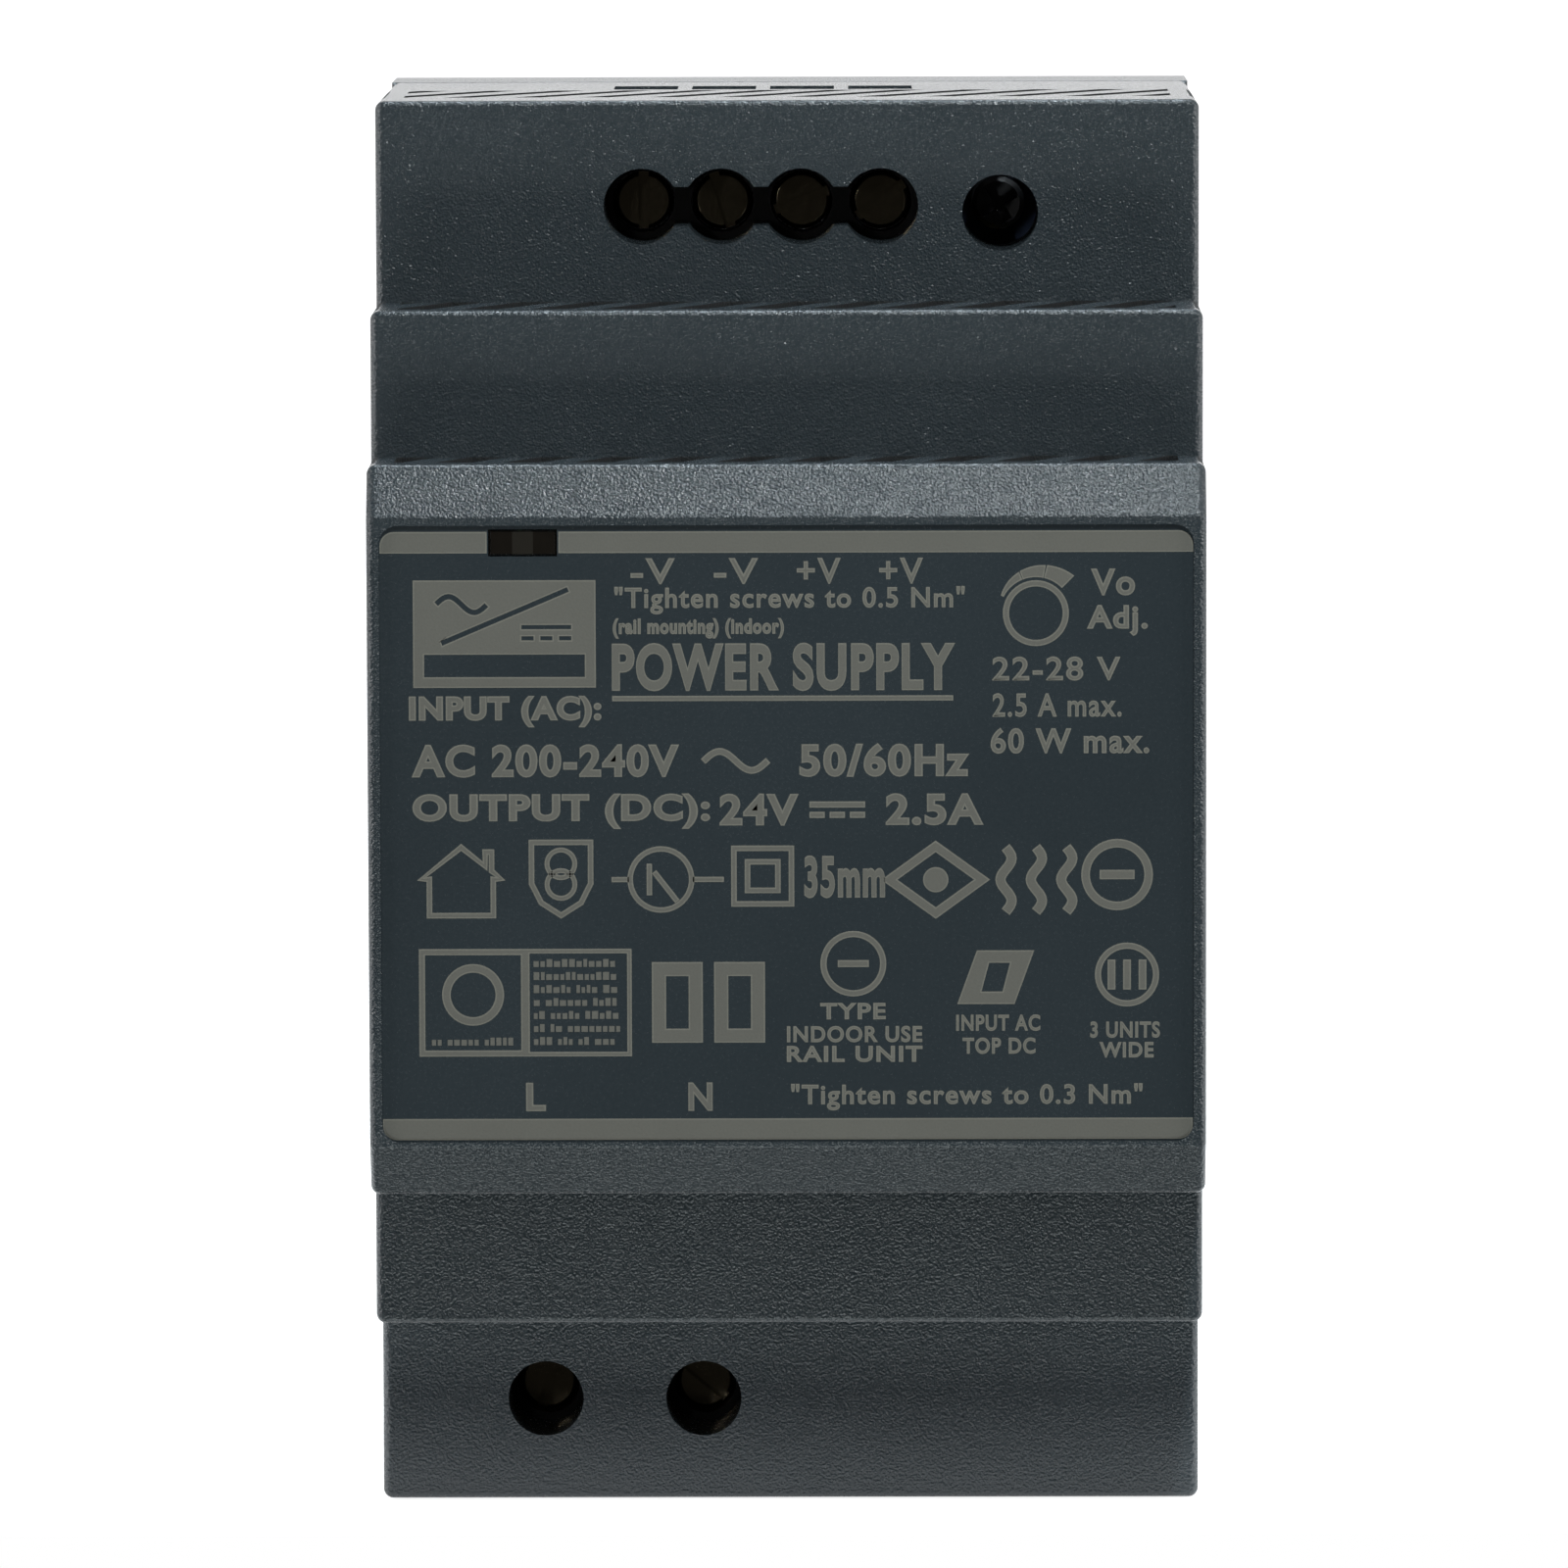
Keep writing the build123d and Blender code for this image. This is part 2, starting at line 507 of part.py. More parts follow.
with BuildPart() as trimmer_body:
    block(TRIM_BODY, TRIM_BODY, TRIM_X, TRIM_Z, BOARD + STAND_OFF, TRIM_TALL)
    fillet(trimmer_body.edges().filter_by(Axis.Y), 0.6)
    rod(ROTOR_R + 1.3, TRIM_X, TRIM_Z, BOARD + TRIM_TALL, 1.5)
    rod(ROTOR_R + RUNNING, TRIM_X, TRIM_Z, BOARD + ROTOR_FOOT, TRIM_TALL + 4, Mode.SUBTRACT)
    leads([(TRIM_X - TRIM_LEAD, TRIM_Z - TRIM_LEAD), (TRIM_X + TRIM_LEAD, TRIM_Z - TRIM_LEAD),
           (TRIM_X, TRIM_Z + TRIM_LEAD)], BOARD + STAND_OFF + 0.1)
save(trimmer_body, "trimmer_body")

with BuildPart() as trimmer_rotor:
    foot = BOARD + ROTOR_FOOT + 0.1
    rod(ROTOR_R, TRIM_X, TRIM_Z, foot, ROTOR_TIP - foot)
    tip = trimmer_rotor.edges().filter_by(GeomType.CIRCLE).sort_by(Axis.Y)[0]
    chamfer(tip, 0.3)
    with BuildSketch(facing(ROTOR_TIP - CROSS_DEEP)):
        with Locations(Location((TRIM_X, TRIM_Z), CROSS_TURN)):
            Rectangle(CROSS_LONG, CROSS_W)
            Rectangle(CROSS_W, CROSS_LONG)
    extrude(amount=2 * CROSS_DEEP, mode=Mode.SUBTRACT)
save(trimmer_rotor, "trimmer_rotor")


# ---------------------------------------------------------------- indicator
RISER_Z, RISER_T, RISER_FRONT = 15.0, 1.0, 38.0
LED_R = 1.5
LED_RIM, LED_RIM_T, LED_DOME = 0.4, 0.8, 1.2
LED_LEG, LED_LEG_X, LED_TAIL = 0.5, 1.27, 3.0
LED_BACK, LED_FRONT = 39.0, 43.6

with BuildPart() as lamp_window:
    pane = NOSE_FACE - LABEL_DEEP - 0.05
    flange_front = NOSE_FACE - WALL - 0.1
    flange_t, flange_h, guide_back = 1.0, 2.6, LED_FRONT + 0.3
    block(LAMP_W - 0.1, LAMP_H - 0.1, LAMP_X, LAMP_Z, flange_front, pane - flange_front)
    chamfer(lamp_window.faces().sort_by(Axis.Y)[0].edges(), 0.12)
    block(LAMP_W + 1.6, flange_h, LAMP_X, LAMP_Z - 1.0, flange_front - flange_t, flange_t)
    # light guide down to the lamp
    block(LAMP_W - 0.6, LAMP_H - 0.1, LAMP_X, LAMP_Z, guide_back,
          flange_front - flange_t - guide_back)
save(lamp_window, "lamp_window")

with BuildPart() as indicator_led:
    rod(LED_R + LED_RIM, LAMP_X, LAMP_Z, LED_BACK, LED_RIM_T)
    rod(LED_R, LAMP_X, LAMP_Z, LED_BACK + LED_RIM_T, LED_FRONT - LED_BACK - LED_RIM_T)
    dome = indicator_led.edges().filter_by(GeomType.CIRCLE).sort_by(Axis.Y)[0]
    fillet(dome, LED_DOME)
    # bent legs down to the riser board
    leg_back, riser_top = RISER_FRONT - LED_TAIL, RISER_Z + RISER_T
    for x in (LAMP_X - LED_LEG_X, LAMP_X + LED_LEG_X):
        block(LED_LEG, LED_LEG, x, LAMP_Z, leg_back, LED_BACK - leg_back)
        block(LED_LEG, LAMP_Z - riser_top, x, (LAMP_Z + riser_top) / 2, leg_back, LED_LEG)
save(indicator_led, "indicator_led")

RISER_LEFT, RISER_RIGHT, PIN_PITCH = -22.8, -11.2, 2.54
with BuildPart() as riser_board:
    block(RISER_RIGHT - RISER_LEFT, RISER_T, (RISER_LEFT + RISER_RIGHT) / 2,
          RISER_Z + RISER_T / 2, BOARD, RISER_FRONT - BOARD)
    for i in range(4):
        x = RISER_LEFT + 2.0 + PIN_PITCH * i
        rod(LEAD_R, x, RISER_Z + RISER_T / 2, LEAD_END, BOARD + 0.1 - LEAD_END)
        lead_spots.append((x, RISER_Z + RISER_T / 2, LEAD_R))
save(riser_board, "riser_board")

CHIP_X, CHIP_W, CHIP_T, CHIP_LONG, CHIP_BACK = -17.0, 6.0, 1.5, 5.0, 22.0
CHIP_LEG, CHIP_PITCH = 0.4, 1.27
with BuildPart() as control_chip:
    block(CHIP_W, CHIP_T, CHIP_X, RISER_Z - 0.1 - CHIP_T / 2, CHIP_BACK, CHIP_LONG)
    for i in range(4):
        forward = CHIP_BACK + CHIP_LEG + CHIP_PITCH * i
        for side in (-1, 1):
            foot_x, knee_x = CHIP_X + side * 3.4, CHIP_X + side * 3.1
            block(0.9, CHIP_LEG, foot_x, RISER_Z - 0.22, forward, CHIP_LEG)
            block(CHIP_LEG, 0.9, knee_x, RISER_Z - 0.5, forward, CHIP_LEG)
save(control_chip, "control_chip")


# ---------------------------------------------------------------- mains side
def electrolytic(name, x, z, radius, tall):
    """Can capacitor: rolled groove near its foot, rounded rim and a scored vent on top."""
    foot = BOARD + STAND_OFF
    top = foot + tall
    rolled, recess, groove_up, rim_w = 0.5, 0.3, 1.2, 1.2
    with BuildPart() as can:
        with BuildSketch(Plane.XY.offset(z)):
            with BuildLine():
                Polyline(
                    (x, -foot),
                    (x + radius, -foot),
                    (x + radius, -(foot + groove_up)),
                    (x + radius - rolled, -(foot + groove_up + rolled)),
                    (x + radius, -(foot + groove_up + 2 * rolled)),
                    (x + radius, -(top - rolled)),
                    (x + radius - rolled, -top),
                    (x + radius - rim_w, -top),
                    (x + radius - rim_w - 0.1, -(top - recess)),
                    (x, -(top - recess)),
                    close=True,
                )
            make_face()
        revolve(axis=Axis((x, 0, z), (0, 1, 0)))
        score = 0.3
        for w, h in ((radius, score), (score, radius)):
            cut(w, h, x, z, top - recess - 0.2, 1.0)
        half_gap = 1.75 if radius < 6 else 3.75
        leads([(x - half_gap, z), (x + half_gap, z)], foot + 0.1)
    save(can, name)


def disc_part(name, x, z, radius, thick, along_x):
    """Dipped disc on two leads. Its flat faces look along X or along Z."""
    stand, lead_gap = 2.2, 2.5
    middle = BOARD + stand + radius
    with BuildPart() as disc:
        if along_x:
            with BuildSketch(Plane.YZ.offset(x)):
                with Locations((-middle, z)):
                    Circle(radius)
        else:
            with BuildSketch(Plane.XY.offset(z)):
                with Locations((x, -middle)):
                    Circle(radius)
        extrude(amount=thick / 2, both=True)
        fillet(disc.edges().filter_by(GeomType.CIRCLE), thick * 0.35)
        if along_x:
            spots = [(x, z - lead_gap), (x, z + lead_gap)]
        else:
            spots = [(x - lead_gap, z), (x + lead_gap, z)]
        leads(spots, BOARD + stand + 0.6 * radius)
    save(disc, name)


FUSE_X, FUSE_Z, FUSE_W, FUSE_H, FUSE_TALL = 5.4, -38.0, 8.4, 4.2, 7.4
with BuildPart() as fuse:
    block(FUSE_W, FUSE_H, FUSE_X, FUSE_Z, BOARD + STAND_OFF, FUSE_TALL)
    fillet(fuse.edges().filter_by(Axis.Y), 0.8)
    leads([(FUSE_X - PIN_PITCH, FUSE_Z), (FUSE_X + PIN_PITCH, FUSE_Z)], BOARD + STAND_OFF + 0.1)
save(fuse, "fuse")

disc_part("varistor", 14.6, -38.2, 5.0, 4.2, along_x=False)
disc_part("inrush_thermistor", 20.2, -27.0, 4.3, 3.8, along_x=True)

FILM_X, FILM_Z, FILM_W, FILM_H, FILM_TALL, FILM_LEAD = -12.4, -26.2, 17.4, 8.4, 14.4, 7.5
with BuildPart() as x_capacitor:
    block(FILM_W, FILM_H, FILM_X, FILM_Z, BOARD + STAND_OFF, FILM_TALL)
    fillet(x_capacitor.edges().filter_by(Axis.Y), 0.6)
    leads([(FILM_X - FILM_LEAD, FILM_Z), (FILM_X + FILM_LEAD, FILM_Z)], BOARD + STAND_OFF + 0.1)
save(x_capacitor, "x_capacitor")

CHOKE_X, CHOKE_Z, CHOKE_FORWARD = 6.6, -26.2, BOARD + 9.2
CHOKE_IN, CHOKE_OUT, CHOKE_T = 3.9, 7.2, 6.0
choke_plane = Plane(origin=(CHOKE_X, -CHOKE_FORWARD, CHOKE_Z), z_dir=(0, 0, 1))

with BuildPart() as choke_core:
    with BuildSketch(choke_plane):
        Circle(CHOKE_OUT)
        Circle(CHOKE_IN, mode=Mode.SUBTRACT)
    extrude(amount=CHOKE_T / 2, both=True)
    fillet(choke_core.edges().filter_by(GeomType.CIRCLE), 0.5)
save(choke_core, "choke_core")

TURN_WIRE, TURN_ROUND, TURN_STEP = 0.7, 0.9, 15
with BuildPart() as choke_windings:
    ring_w, ring_t = CHOKE_OUT - CHOKE_IN + 0.2, CHOKE_T + 0.2
    ring_mid = (CHOKE_OUT + CHOKE_IN) / 2
    for middle in (0, 180):
        for k in range(7):
            angle = middle + (k - 3) * TURN_STEP
            spot = choke_plane.rotated((0, 0, angle))
            turn_plane = Plane(
                origin=spot.from_local_coords((ring_mid, 0, 0)),
                x_dir=spot.x_dir,
                z_dir=-spot.y_dir,
            )
            with BuildSketch(turn_plane):
                RectangleRounded(ring_w + 2 * TURN_WIRE, ring_t + 2 * TURN_WIRE, TURN_ROUND)
                Rectangle(ring_w, ring_t, mode=Mode.SUBTRACT)
            extrude(amount=TURN_WIRE / 2, both=True)
save(choke_windings, "choke_windings")

CHOKE_LEAD_X, CHOKE_LEAD_Z = 6.0, 3.2
with BuildPart() as choke_base:
    block(17.0, 9.0, CHOKE_X, CHOKE_Z, BOARD + 0.05, 1.0)
    leads([(CHOKE_X + sx * CHOKE_LEAD_X, CHOKE_Z + sz * CHOKE_LEAD_Z)
           for sx in (-1, 1) for sz in (-1, 1)], BOARD + 0.1)
save(choke_base, "choke_base")

BRIDGE_X, BRIDGE_Z, BRIDGE_W, BRIDGE_T, BRIDGE_TALL = -14.8, -18.6, 14.4, 3.6, 10.4
BRIDGE_STAND, BRIDGE_PITCH = 3.6, 3.8
with BuildPart() as bridge_rectifier:
    block(BRIDGE_W, BRIDGE_T, BRIDGE_X, BRIDGE_Z, BOARD + BRIDGE_STAND, BRIDGE_TALL)
    chamfer(bridge_rectifier.edges().filter_by(Axis.Y).sort_by(Axis.X)[-1], 1.2)
    leads([(BRIDGE_X + BRIDGE_PITCH * (i - 1.5), BRIDGE_Z) for i in range(4)],
          BOARD + BRIDGE_STAND + 0.1)
save(bridge_rectifier, "bridge_rectifier")

BULK_R, BULK_TALL = 8.0, 30.0
electrolytic("bulk_capacitor_left", -14.2, -6.6, BULK_R, BULK_TALL)
electrolytic("bulk_capacitor_right", 3.0, -10.2, BULK_R, BULK_TALL)

SINK_X, SINK_T, SINK_LONG, SINK_TALL = 20.9, 1.5, 22.0, 24.0
PRIMARY_Z, SECONDARY_Z = -10.0, 17.0
TAB_HOLE_R, TAB_HOLE_UP, TAB_T = 1.6, 17.4, 1.3


def across_sink(radius, z, start, long, mode=Mode.ADD):
    """Adds or takes away a round bar along X at the height of the screw on a heat sink."""
    with BuildSketch(Plane.YZ.offset(start)) as outline:
        with Locations((-(BOARD + TAB_HOLE_UP), z)):
            Circle(radius)
    extrude(outline.sketch, amount=long, mode=mode)


def heat_sink(name, z):
    """Aluminium plate on two feet, with a hole for the transistor's screw."""
    middle, stand, foot_in = SINK_X + SINK_T / 2, 1.0, SINK_LONG / 2 - 2
    with BuildPart() as plate:
        block(SINK_T, SINK_LONG, middle, z, BOARD + stand, SINK_TALL)
        across_sink(TAB_HOLE_R, z, SINK_X - 1, SINK_T + 2, Mode.SUBTRACT)
        leads([(middle, z - foot_in), (middle, z + foot_in)], BOARD + stand + 0.1)
    save(plate, name)


def power_device(name, z):
    """Three-legged package whose metal tab lies against the heat sink."""
    back, wide, body_t, body_up, body_tall, tab_tall = SINK_X - RUNNING, 10.0, 4.4, 5.0, 9.0, 6.4
    with BuildPart() as device:
        block(body_t, wide, back - body_t / 2, z, BOARD + body_up, body_tall)
        chamfer(device.edges().filter_by(Axis.Z).sort_by(Axis.X)[:2], 0.5)
        block(TAB_T, wide, back - TAB_T / 2, z, BOARD + body_up + body_tall, tab_tall)
        across_sink(TAB_HOLE_R, z, SINK_X - 3, 4, Mode.SUBTRACT)
        leads([(SINK_X - 2.4, z + PIN_PITCH * i) for i in (-1, 0, 1)], BOARD + body_up + 0.1)
    save(device, name)


heat_sink("primary_heat_sink", PRIMARY_Z)
heat_sink("secondary_heat_sink", SECONDARY_Z)
power_device("primary_transistor", PRIMARY_Z)
power_device("output_rectifier", SECONDARY_Z)

with BuildPart() as heat_sink_screws:
    head_back = SINK_X - RUNNING - TAB_T - 0.02
    head_t, recess_long, recess_w, recess_deep = 1.6, 3.4, 0.6, 0.7
    for z in (PRIMARY_Z, SECONDARY_Z):
        across_sink(2.7, z, head_back, -head_t)
        across_sink(TAB_HOLE_R - 0.15, z, head_back - 0.3, SINK_T + TAB_T + 0.6)
        with BuildSketch(Plane.YZ.offset(head_back - head_t + recess_deep)):
            with Locations((-(BOARD + TAB_HOLE_UP), z)):
                Rectangle(recess_w, recess_long)
                Rectangle(recess_long, recess_w)
        extrude(amount=-2 * recess_deep, mode=Mode.SUBTRACT)
save(heat_sink_screws, "heat_sink_screws")


# ---------------------------------------------------------------- transformer
TX, TZ = 3.0, 11.8                   # its middle on the board
CORE_W, CORE_TALL, CORE_T, CORE_BACK = 25.0, 22.0, 10.0, 10.4
LEG, YOKE, WINDOW_W = 6.0, 3.0, 17.0
WINDOW_TALL = (CORE_TALL - LEG) / 2 - YOKE
CORE_MID = CORE_BACK + CORE_TALL / 2

with BuildPart() as transformer_core:
    block(CORE_W, CORE_T, TX, TZ, CORE_BACK, CORE_TALL)
    cut(WINDOW_W, CORE_T + 1, TX, TZ, CORE_BACK + YOKE, WINDOW_TALL)
    cut(WINDOW_W, CORE_T + 1, TX, TZ, CORE_MID + LEG / 2, WINDOW_TALL)
    for end in (0, -1):
        chamfer(transformer_core.edges().filter_by(Axis.Z).group_by(Axis.X)[end], 0.5)
save(transformer_core, "transformer_core")

FLANGE_T, FLANGE_H = 1.0, 21.0
FLANGE_TALL = CORE_TALL - 2 * YOKE - 2 * PLAY
BOBBIN_WALL, BOBBIN_SPAN = 1.0, WINDOW_W - 2 * PLAY
PIN_RAIL_Z, PIN_RAIL_W, PIN_RAIL_T = 8.0, 5.0, 2.6
BOBBIN_PIN_Z, BOBBIN_PITCH = 9.2, 4.0
with BuildPart() as transformer_bobbin:
    flange_back, leg_back = CORE_MID - FLANGE_TALL / 2, CORE_MID - LEG / 2
    for side in (-1, 1):
        x = TX + side * (BOBBIN_SPAN - FLANGE_T) / 2
        block(FLANGE_T, FLANGE_H, x, TZ, flange_back, FLANGE_TALL)
        for z in (TZ - PIN_RAIL_Z, TZ + PIN_RAIL_Z):
            block(FLANGE_T, PIN_RAIL_W, x, z, BOARD + 0.5, flange_back - BOARD)
    for z in (TZ - PIN_RAIL_Z, TZ + PIN_RAIL_Z):
        block(BOBBIN_SPAN, PIN_RAIL_W, TX, z, BOARD + PLAY, PIN_RAIL_T)
    # tube around the core's middle leg
    block(BOBBIN_SPAN, CORE_T + 2 * BOBBIN_WALL, TX, TZ, leg_back - BOBBIN_WALL,
          LEG + 2 * BOBBIN_WALL)
    cut(BOBBIN_SPAN + 2, CORE_T + PLAY, TX, TZ, leg_back - PLAY / 2, LEG + PLAY)
    leads([(TX + BOBBIN_PITCH * (i - 1.5), TZ + side * BOBBIN_PIN_Z)
           for i in range(4) for side in (-1, 1)], BOARD + STAND_OFF)
save(transformer_bobbin, "transformer_bobbin")

with BuildPart() as transformer_winding:
    coil_w, coil_round = BOBBIN_SPAN - 2 * FLANGE_T - 0.1, 4.0
    bore = 2 * (BOBBIN_WALL + RUNNING)
    with BuildSketch(Plane.YZ.offset(TX - coil_w / 2)):
        with Locations((-CORE_MID, TZ)):
            RectangleRounded(FLANGE_TALL - 2 * PLAY, FLANGE_H - 4 * PLAY, coil_round)
            Rectangle(LEG + bore, CORE_T + bore, mode=Mode.SUBTRACT)
    extrude(amount=coil_w)
save(transformer_winding, "transformer_winding")


# ---------------------------------------------------------------- output side
FILTER_R, FILTER_TALL = 4.0, 16.0
for i, (x, z) in enumerate(((-17.6, 33.4), (-17.6, 24.6), (-8.6, 27.0))):
    electrolytic(f"output_capacitor_{i + 1}", x, z, FILTER_R, FILTER_TALL)
disc_part("y_capacitor", -16.0, 4.6, 3.8, 3.0, along_x=False)

OPTO_X, OPTO_Z, OPTO_W, OPTO_H, OPTO_TALL, OPTO_STAND = -16.0, 10.4, 6.4, 4.6, 3.4, 0.9
with BuildPart() as optocoupler:
    block(OPTO_W, OPTO_H, OPTO_X, OPTO_Z, BOARD + OPTO_STAND, OPTO_TALL)
    chamfer(optocoupler.edges().filter_by(Axis.X).sort_by(Axis.Y)[:2], 0.4)
    leads([(OPTO_X + sx * 2.9, OPTO_Z + sz * CHIP_PITCH) for sx in (-1, 1) for sz in (-1, 1)],
          BOARD + OPTO_STAND + 0.1)
save(optocoupler, "optocoupler")

IND_X, IND_Z, IND_LEAD = 3.4, 27.8, 3.0
DRUM_R, DRUM_T, DRUM_NECK_R, DRUM_GAP = 4.6, 1.4, 2.4, 9.0
IND_TURNS, IND_WIRE, IND_PITCH, IND_WOUND_R = 12, 0.72, 0.74, 4.1
with BuildPart() as inductor_core:
    foot = BOARD + STAND_OFF + 0.1
    rod(DRUM_R, IND_X, IND_Z, foot, DRUM_T)
    rod(DRUM_NECK_R, IND_X, IND_Z, foot + DRUM_T, DRUM_GAP)
    rod(DRUM_R, IND_X, IND_Z, foot + DRUM_T + DRUM_GAP, DRUM_T)
    leads([(IND_X - IND_LEAD, IND_Z), (IND_X + IND_LEAD, IND_Z)], foot + 0.1)
save(inductor_core, "inductor_core")

with BuildPart() as inductor_winding:
    for i in range(IND_TURNS):
        with BuildSketch(facing(foot + DRUM_T + 0.1 + IND_PITCH * i)):
            with Locations((IND_X, IND_Z)):
                Circle(IND_WOUND_R)
                Circle(DRUM_NECK_R + 0.1, mode=Mode.SUBTRACT)
        extrude(amount=IND_WIRE)
save(inductor_winding, "inductor_winding")

SMALL_W, SMALL_H, SMALL_T = 1.2, 2.0, 0.6
with BuildPart() as chip_parts:
    for x, z, count in ((11.0, 30.4, 3), (19.6, 33.6, 1), (-8.6, 3.8, 2), (13.4, -20.4, 2)):
        for i in range(count):
            block(SMALL_W, SMALL_H, x + 2 * SMALL_W * i, z, BOARD, SMALL_T)
save(chip_parts, "chip_parts")


# ---------------------------------------------------------------- board and insulation
with BuildPart() as main_board:
    with BuildSketch(facing(BOARD_BACK)):
        Rectangle(BOARD_W, BOARD_H)
        with Locations(*[(x, z) for x in (-BOSS_X, BOSS_X) for z in (-BOSS_Z, BOSS_Z)]):
            Circle(PEG_R + 0.1, mode=Mode.SUBTRACT)
        for x, z, radius in lead_spots:
            with Locations((x, z)):
                Circle(radius + 0.15, mode=Mode.SUBTRACT)
    extrude(amount=BOARD_T)
save(main_board, "main_board")

with BuildPart() as solder_joints:
    for x, z, radius in lead_spots:
        with BuildSketch(Plane.XY.offset(z)):
            with BuildLine():
                Polyline(
                    (x + radius, -BOARD_BACK),
                    (x + SOLDER_R, -BOARD_BACK),
                    (x + radius + 0.1, -BOARD_BACK + SOLDER_H),
                    (x + radius, -BOARD_BACK + SOLDER_H),
                    close=True,
                )
            make_face()
        revolve(axis=Axis((x, 0, z), (0, 1, 0)))
save(solder_joints, "solder_joints")

SHEET_W, SHEET_H, SHEET_T = 44.0, 72.0, 0.3
with BuildPart() as insulation_sheet:
    block(SHEET_W, SHEET_H, 0, 0, FLOOR_MID, SHEET_T)
save(insulation_sheet, "insulation_sheet")
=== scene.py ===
# %% [markdown]
# # A rail-mounted power supply
# This lesson dresses a CAD model of a three-module power supply. The CAD parts keep their shapes
# and places. Blender adds finishes to all of them, the laser marks on the nose, and the pieces that
# CAD only blocks out, such as springs and windings.

# %% Load the frame
import math

import bmesh
import bpy
from mathutils import Matrix, Vector


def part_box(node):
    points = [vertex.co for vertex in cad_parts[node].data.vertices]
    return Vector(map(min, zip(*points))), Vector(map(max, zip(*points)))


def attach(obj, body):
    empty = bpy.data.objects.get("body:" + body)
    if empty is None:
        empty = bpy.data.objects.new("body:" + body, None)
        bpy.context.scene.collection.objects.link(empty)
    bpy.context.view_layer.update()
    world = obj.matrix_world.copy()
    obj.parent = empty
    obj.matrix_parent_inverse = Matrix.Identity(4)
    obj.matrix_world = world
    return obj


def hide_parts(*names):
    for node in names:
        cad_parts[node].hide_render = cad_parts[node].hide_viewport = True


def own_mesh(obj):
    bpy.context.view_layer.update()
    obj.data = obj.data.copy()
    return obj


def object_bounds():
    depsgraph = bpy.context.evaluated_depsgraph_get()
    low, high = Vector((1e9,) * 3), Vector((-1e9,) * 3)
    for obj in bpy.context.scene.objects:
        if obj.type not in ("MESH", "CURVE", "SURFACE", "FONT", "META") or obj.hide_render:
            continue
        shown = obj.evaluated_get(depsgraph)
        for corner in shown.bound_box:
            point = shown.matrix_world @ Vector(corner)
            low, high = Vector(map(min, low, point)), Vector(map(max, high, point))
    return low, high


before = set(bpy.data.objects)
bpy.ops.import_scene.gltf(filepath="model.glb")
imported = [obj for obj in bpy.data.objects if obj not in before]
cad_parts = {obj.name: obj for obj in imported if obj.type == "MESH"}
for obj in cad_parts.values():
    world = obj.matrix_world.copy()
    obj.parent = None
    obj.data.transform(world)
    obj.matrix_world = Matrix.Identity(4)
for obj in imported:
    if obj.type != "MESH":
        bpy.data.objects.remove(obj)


def rounded(box):
    return [round(value, 4) for corner in box for value in corner]


cad_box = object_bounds()
print("CAD parts:", len(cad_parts), "box:", rounded(cad_box))

# %% [markdown]
# ## Units and reference faces
# Everything is in metres, in the CAD frame: the rail seat is at y = 0 and the front looks towards -Y.
# It is easier to think of a small device in millimetres, so one constant converts. The faces that
# later steps need are read from the CAD boxes, which keeps this script right if a size changes.

# %% Reference faces
MM = 0.001
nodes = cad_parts
NOSE_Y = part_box("front_shell")[0].y
LABEL_SUNK = 0.25 * MM
LABEL_Y = NOSE_Y + LABEL_SUNK
print("nose at", round(NOSE_Y / MM, 2), "mm, label field at", round(LABEL_Y / MM, 2), "mm")


# %% [markdown]
# ## A small language for node trees
# Long chains of Math nodes are hard to read as calls. Here one class wraps a socket and lets Python
# operators add the Math nodes, so that a formula looks like a formula. A second class wraps a tree
# and adds every other kind of node through one method.

# %% Sockets that calculate
class Wire:
    """A node's output. Operators on it add Math nodes to the same tree."""

    def __init__(self, sheet, socket):
        self.sheet = sheet
        self.socket = socket

    def _math(self, operation, *terms):
        return self.sheet.add("ShaderNodeMath", {"operation": operation}, dict(enumerate(terms)))

    def __add__(self, other):
        return self._math("ADD", self, other)

    def __sub__(self, other):
        return self._math("SUBTRACT", self, other)

    def __rsub__(self, other):
        return self._math("SUBTRACT", other, self)

    def __mul__(self, other):
        return self._math("MULTIPLY", self, other)

    def __truediv__(self, other):
        return self._math("DIVIDE", self, other)

    def __pow__(self, other):
        return self._math("POWER", self, other)

    def __gt__(self, other):
        return self._math("GREATER_THAN", self, other)

    def __lt__(self, other):
        return self._math("LESS_THAN", self, other)

    __radd__ = __add__
    __rmul__ = __mul__

    def wave(self):
        return self._math("SINE", self)

    def cosine(self):
        return self._math("COSINE", self)

    def out(self, name):
        """Another output of the same node."""
        return Wire(self.sheet, self.socket.node.outputs[name])


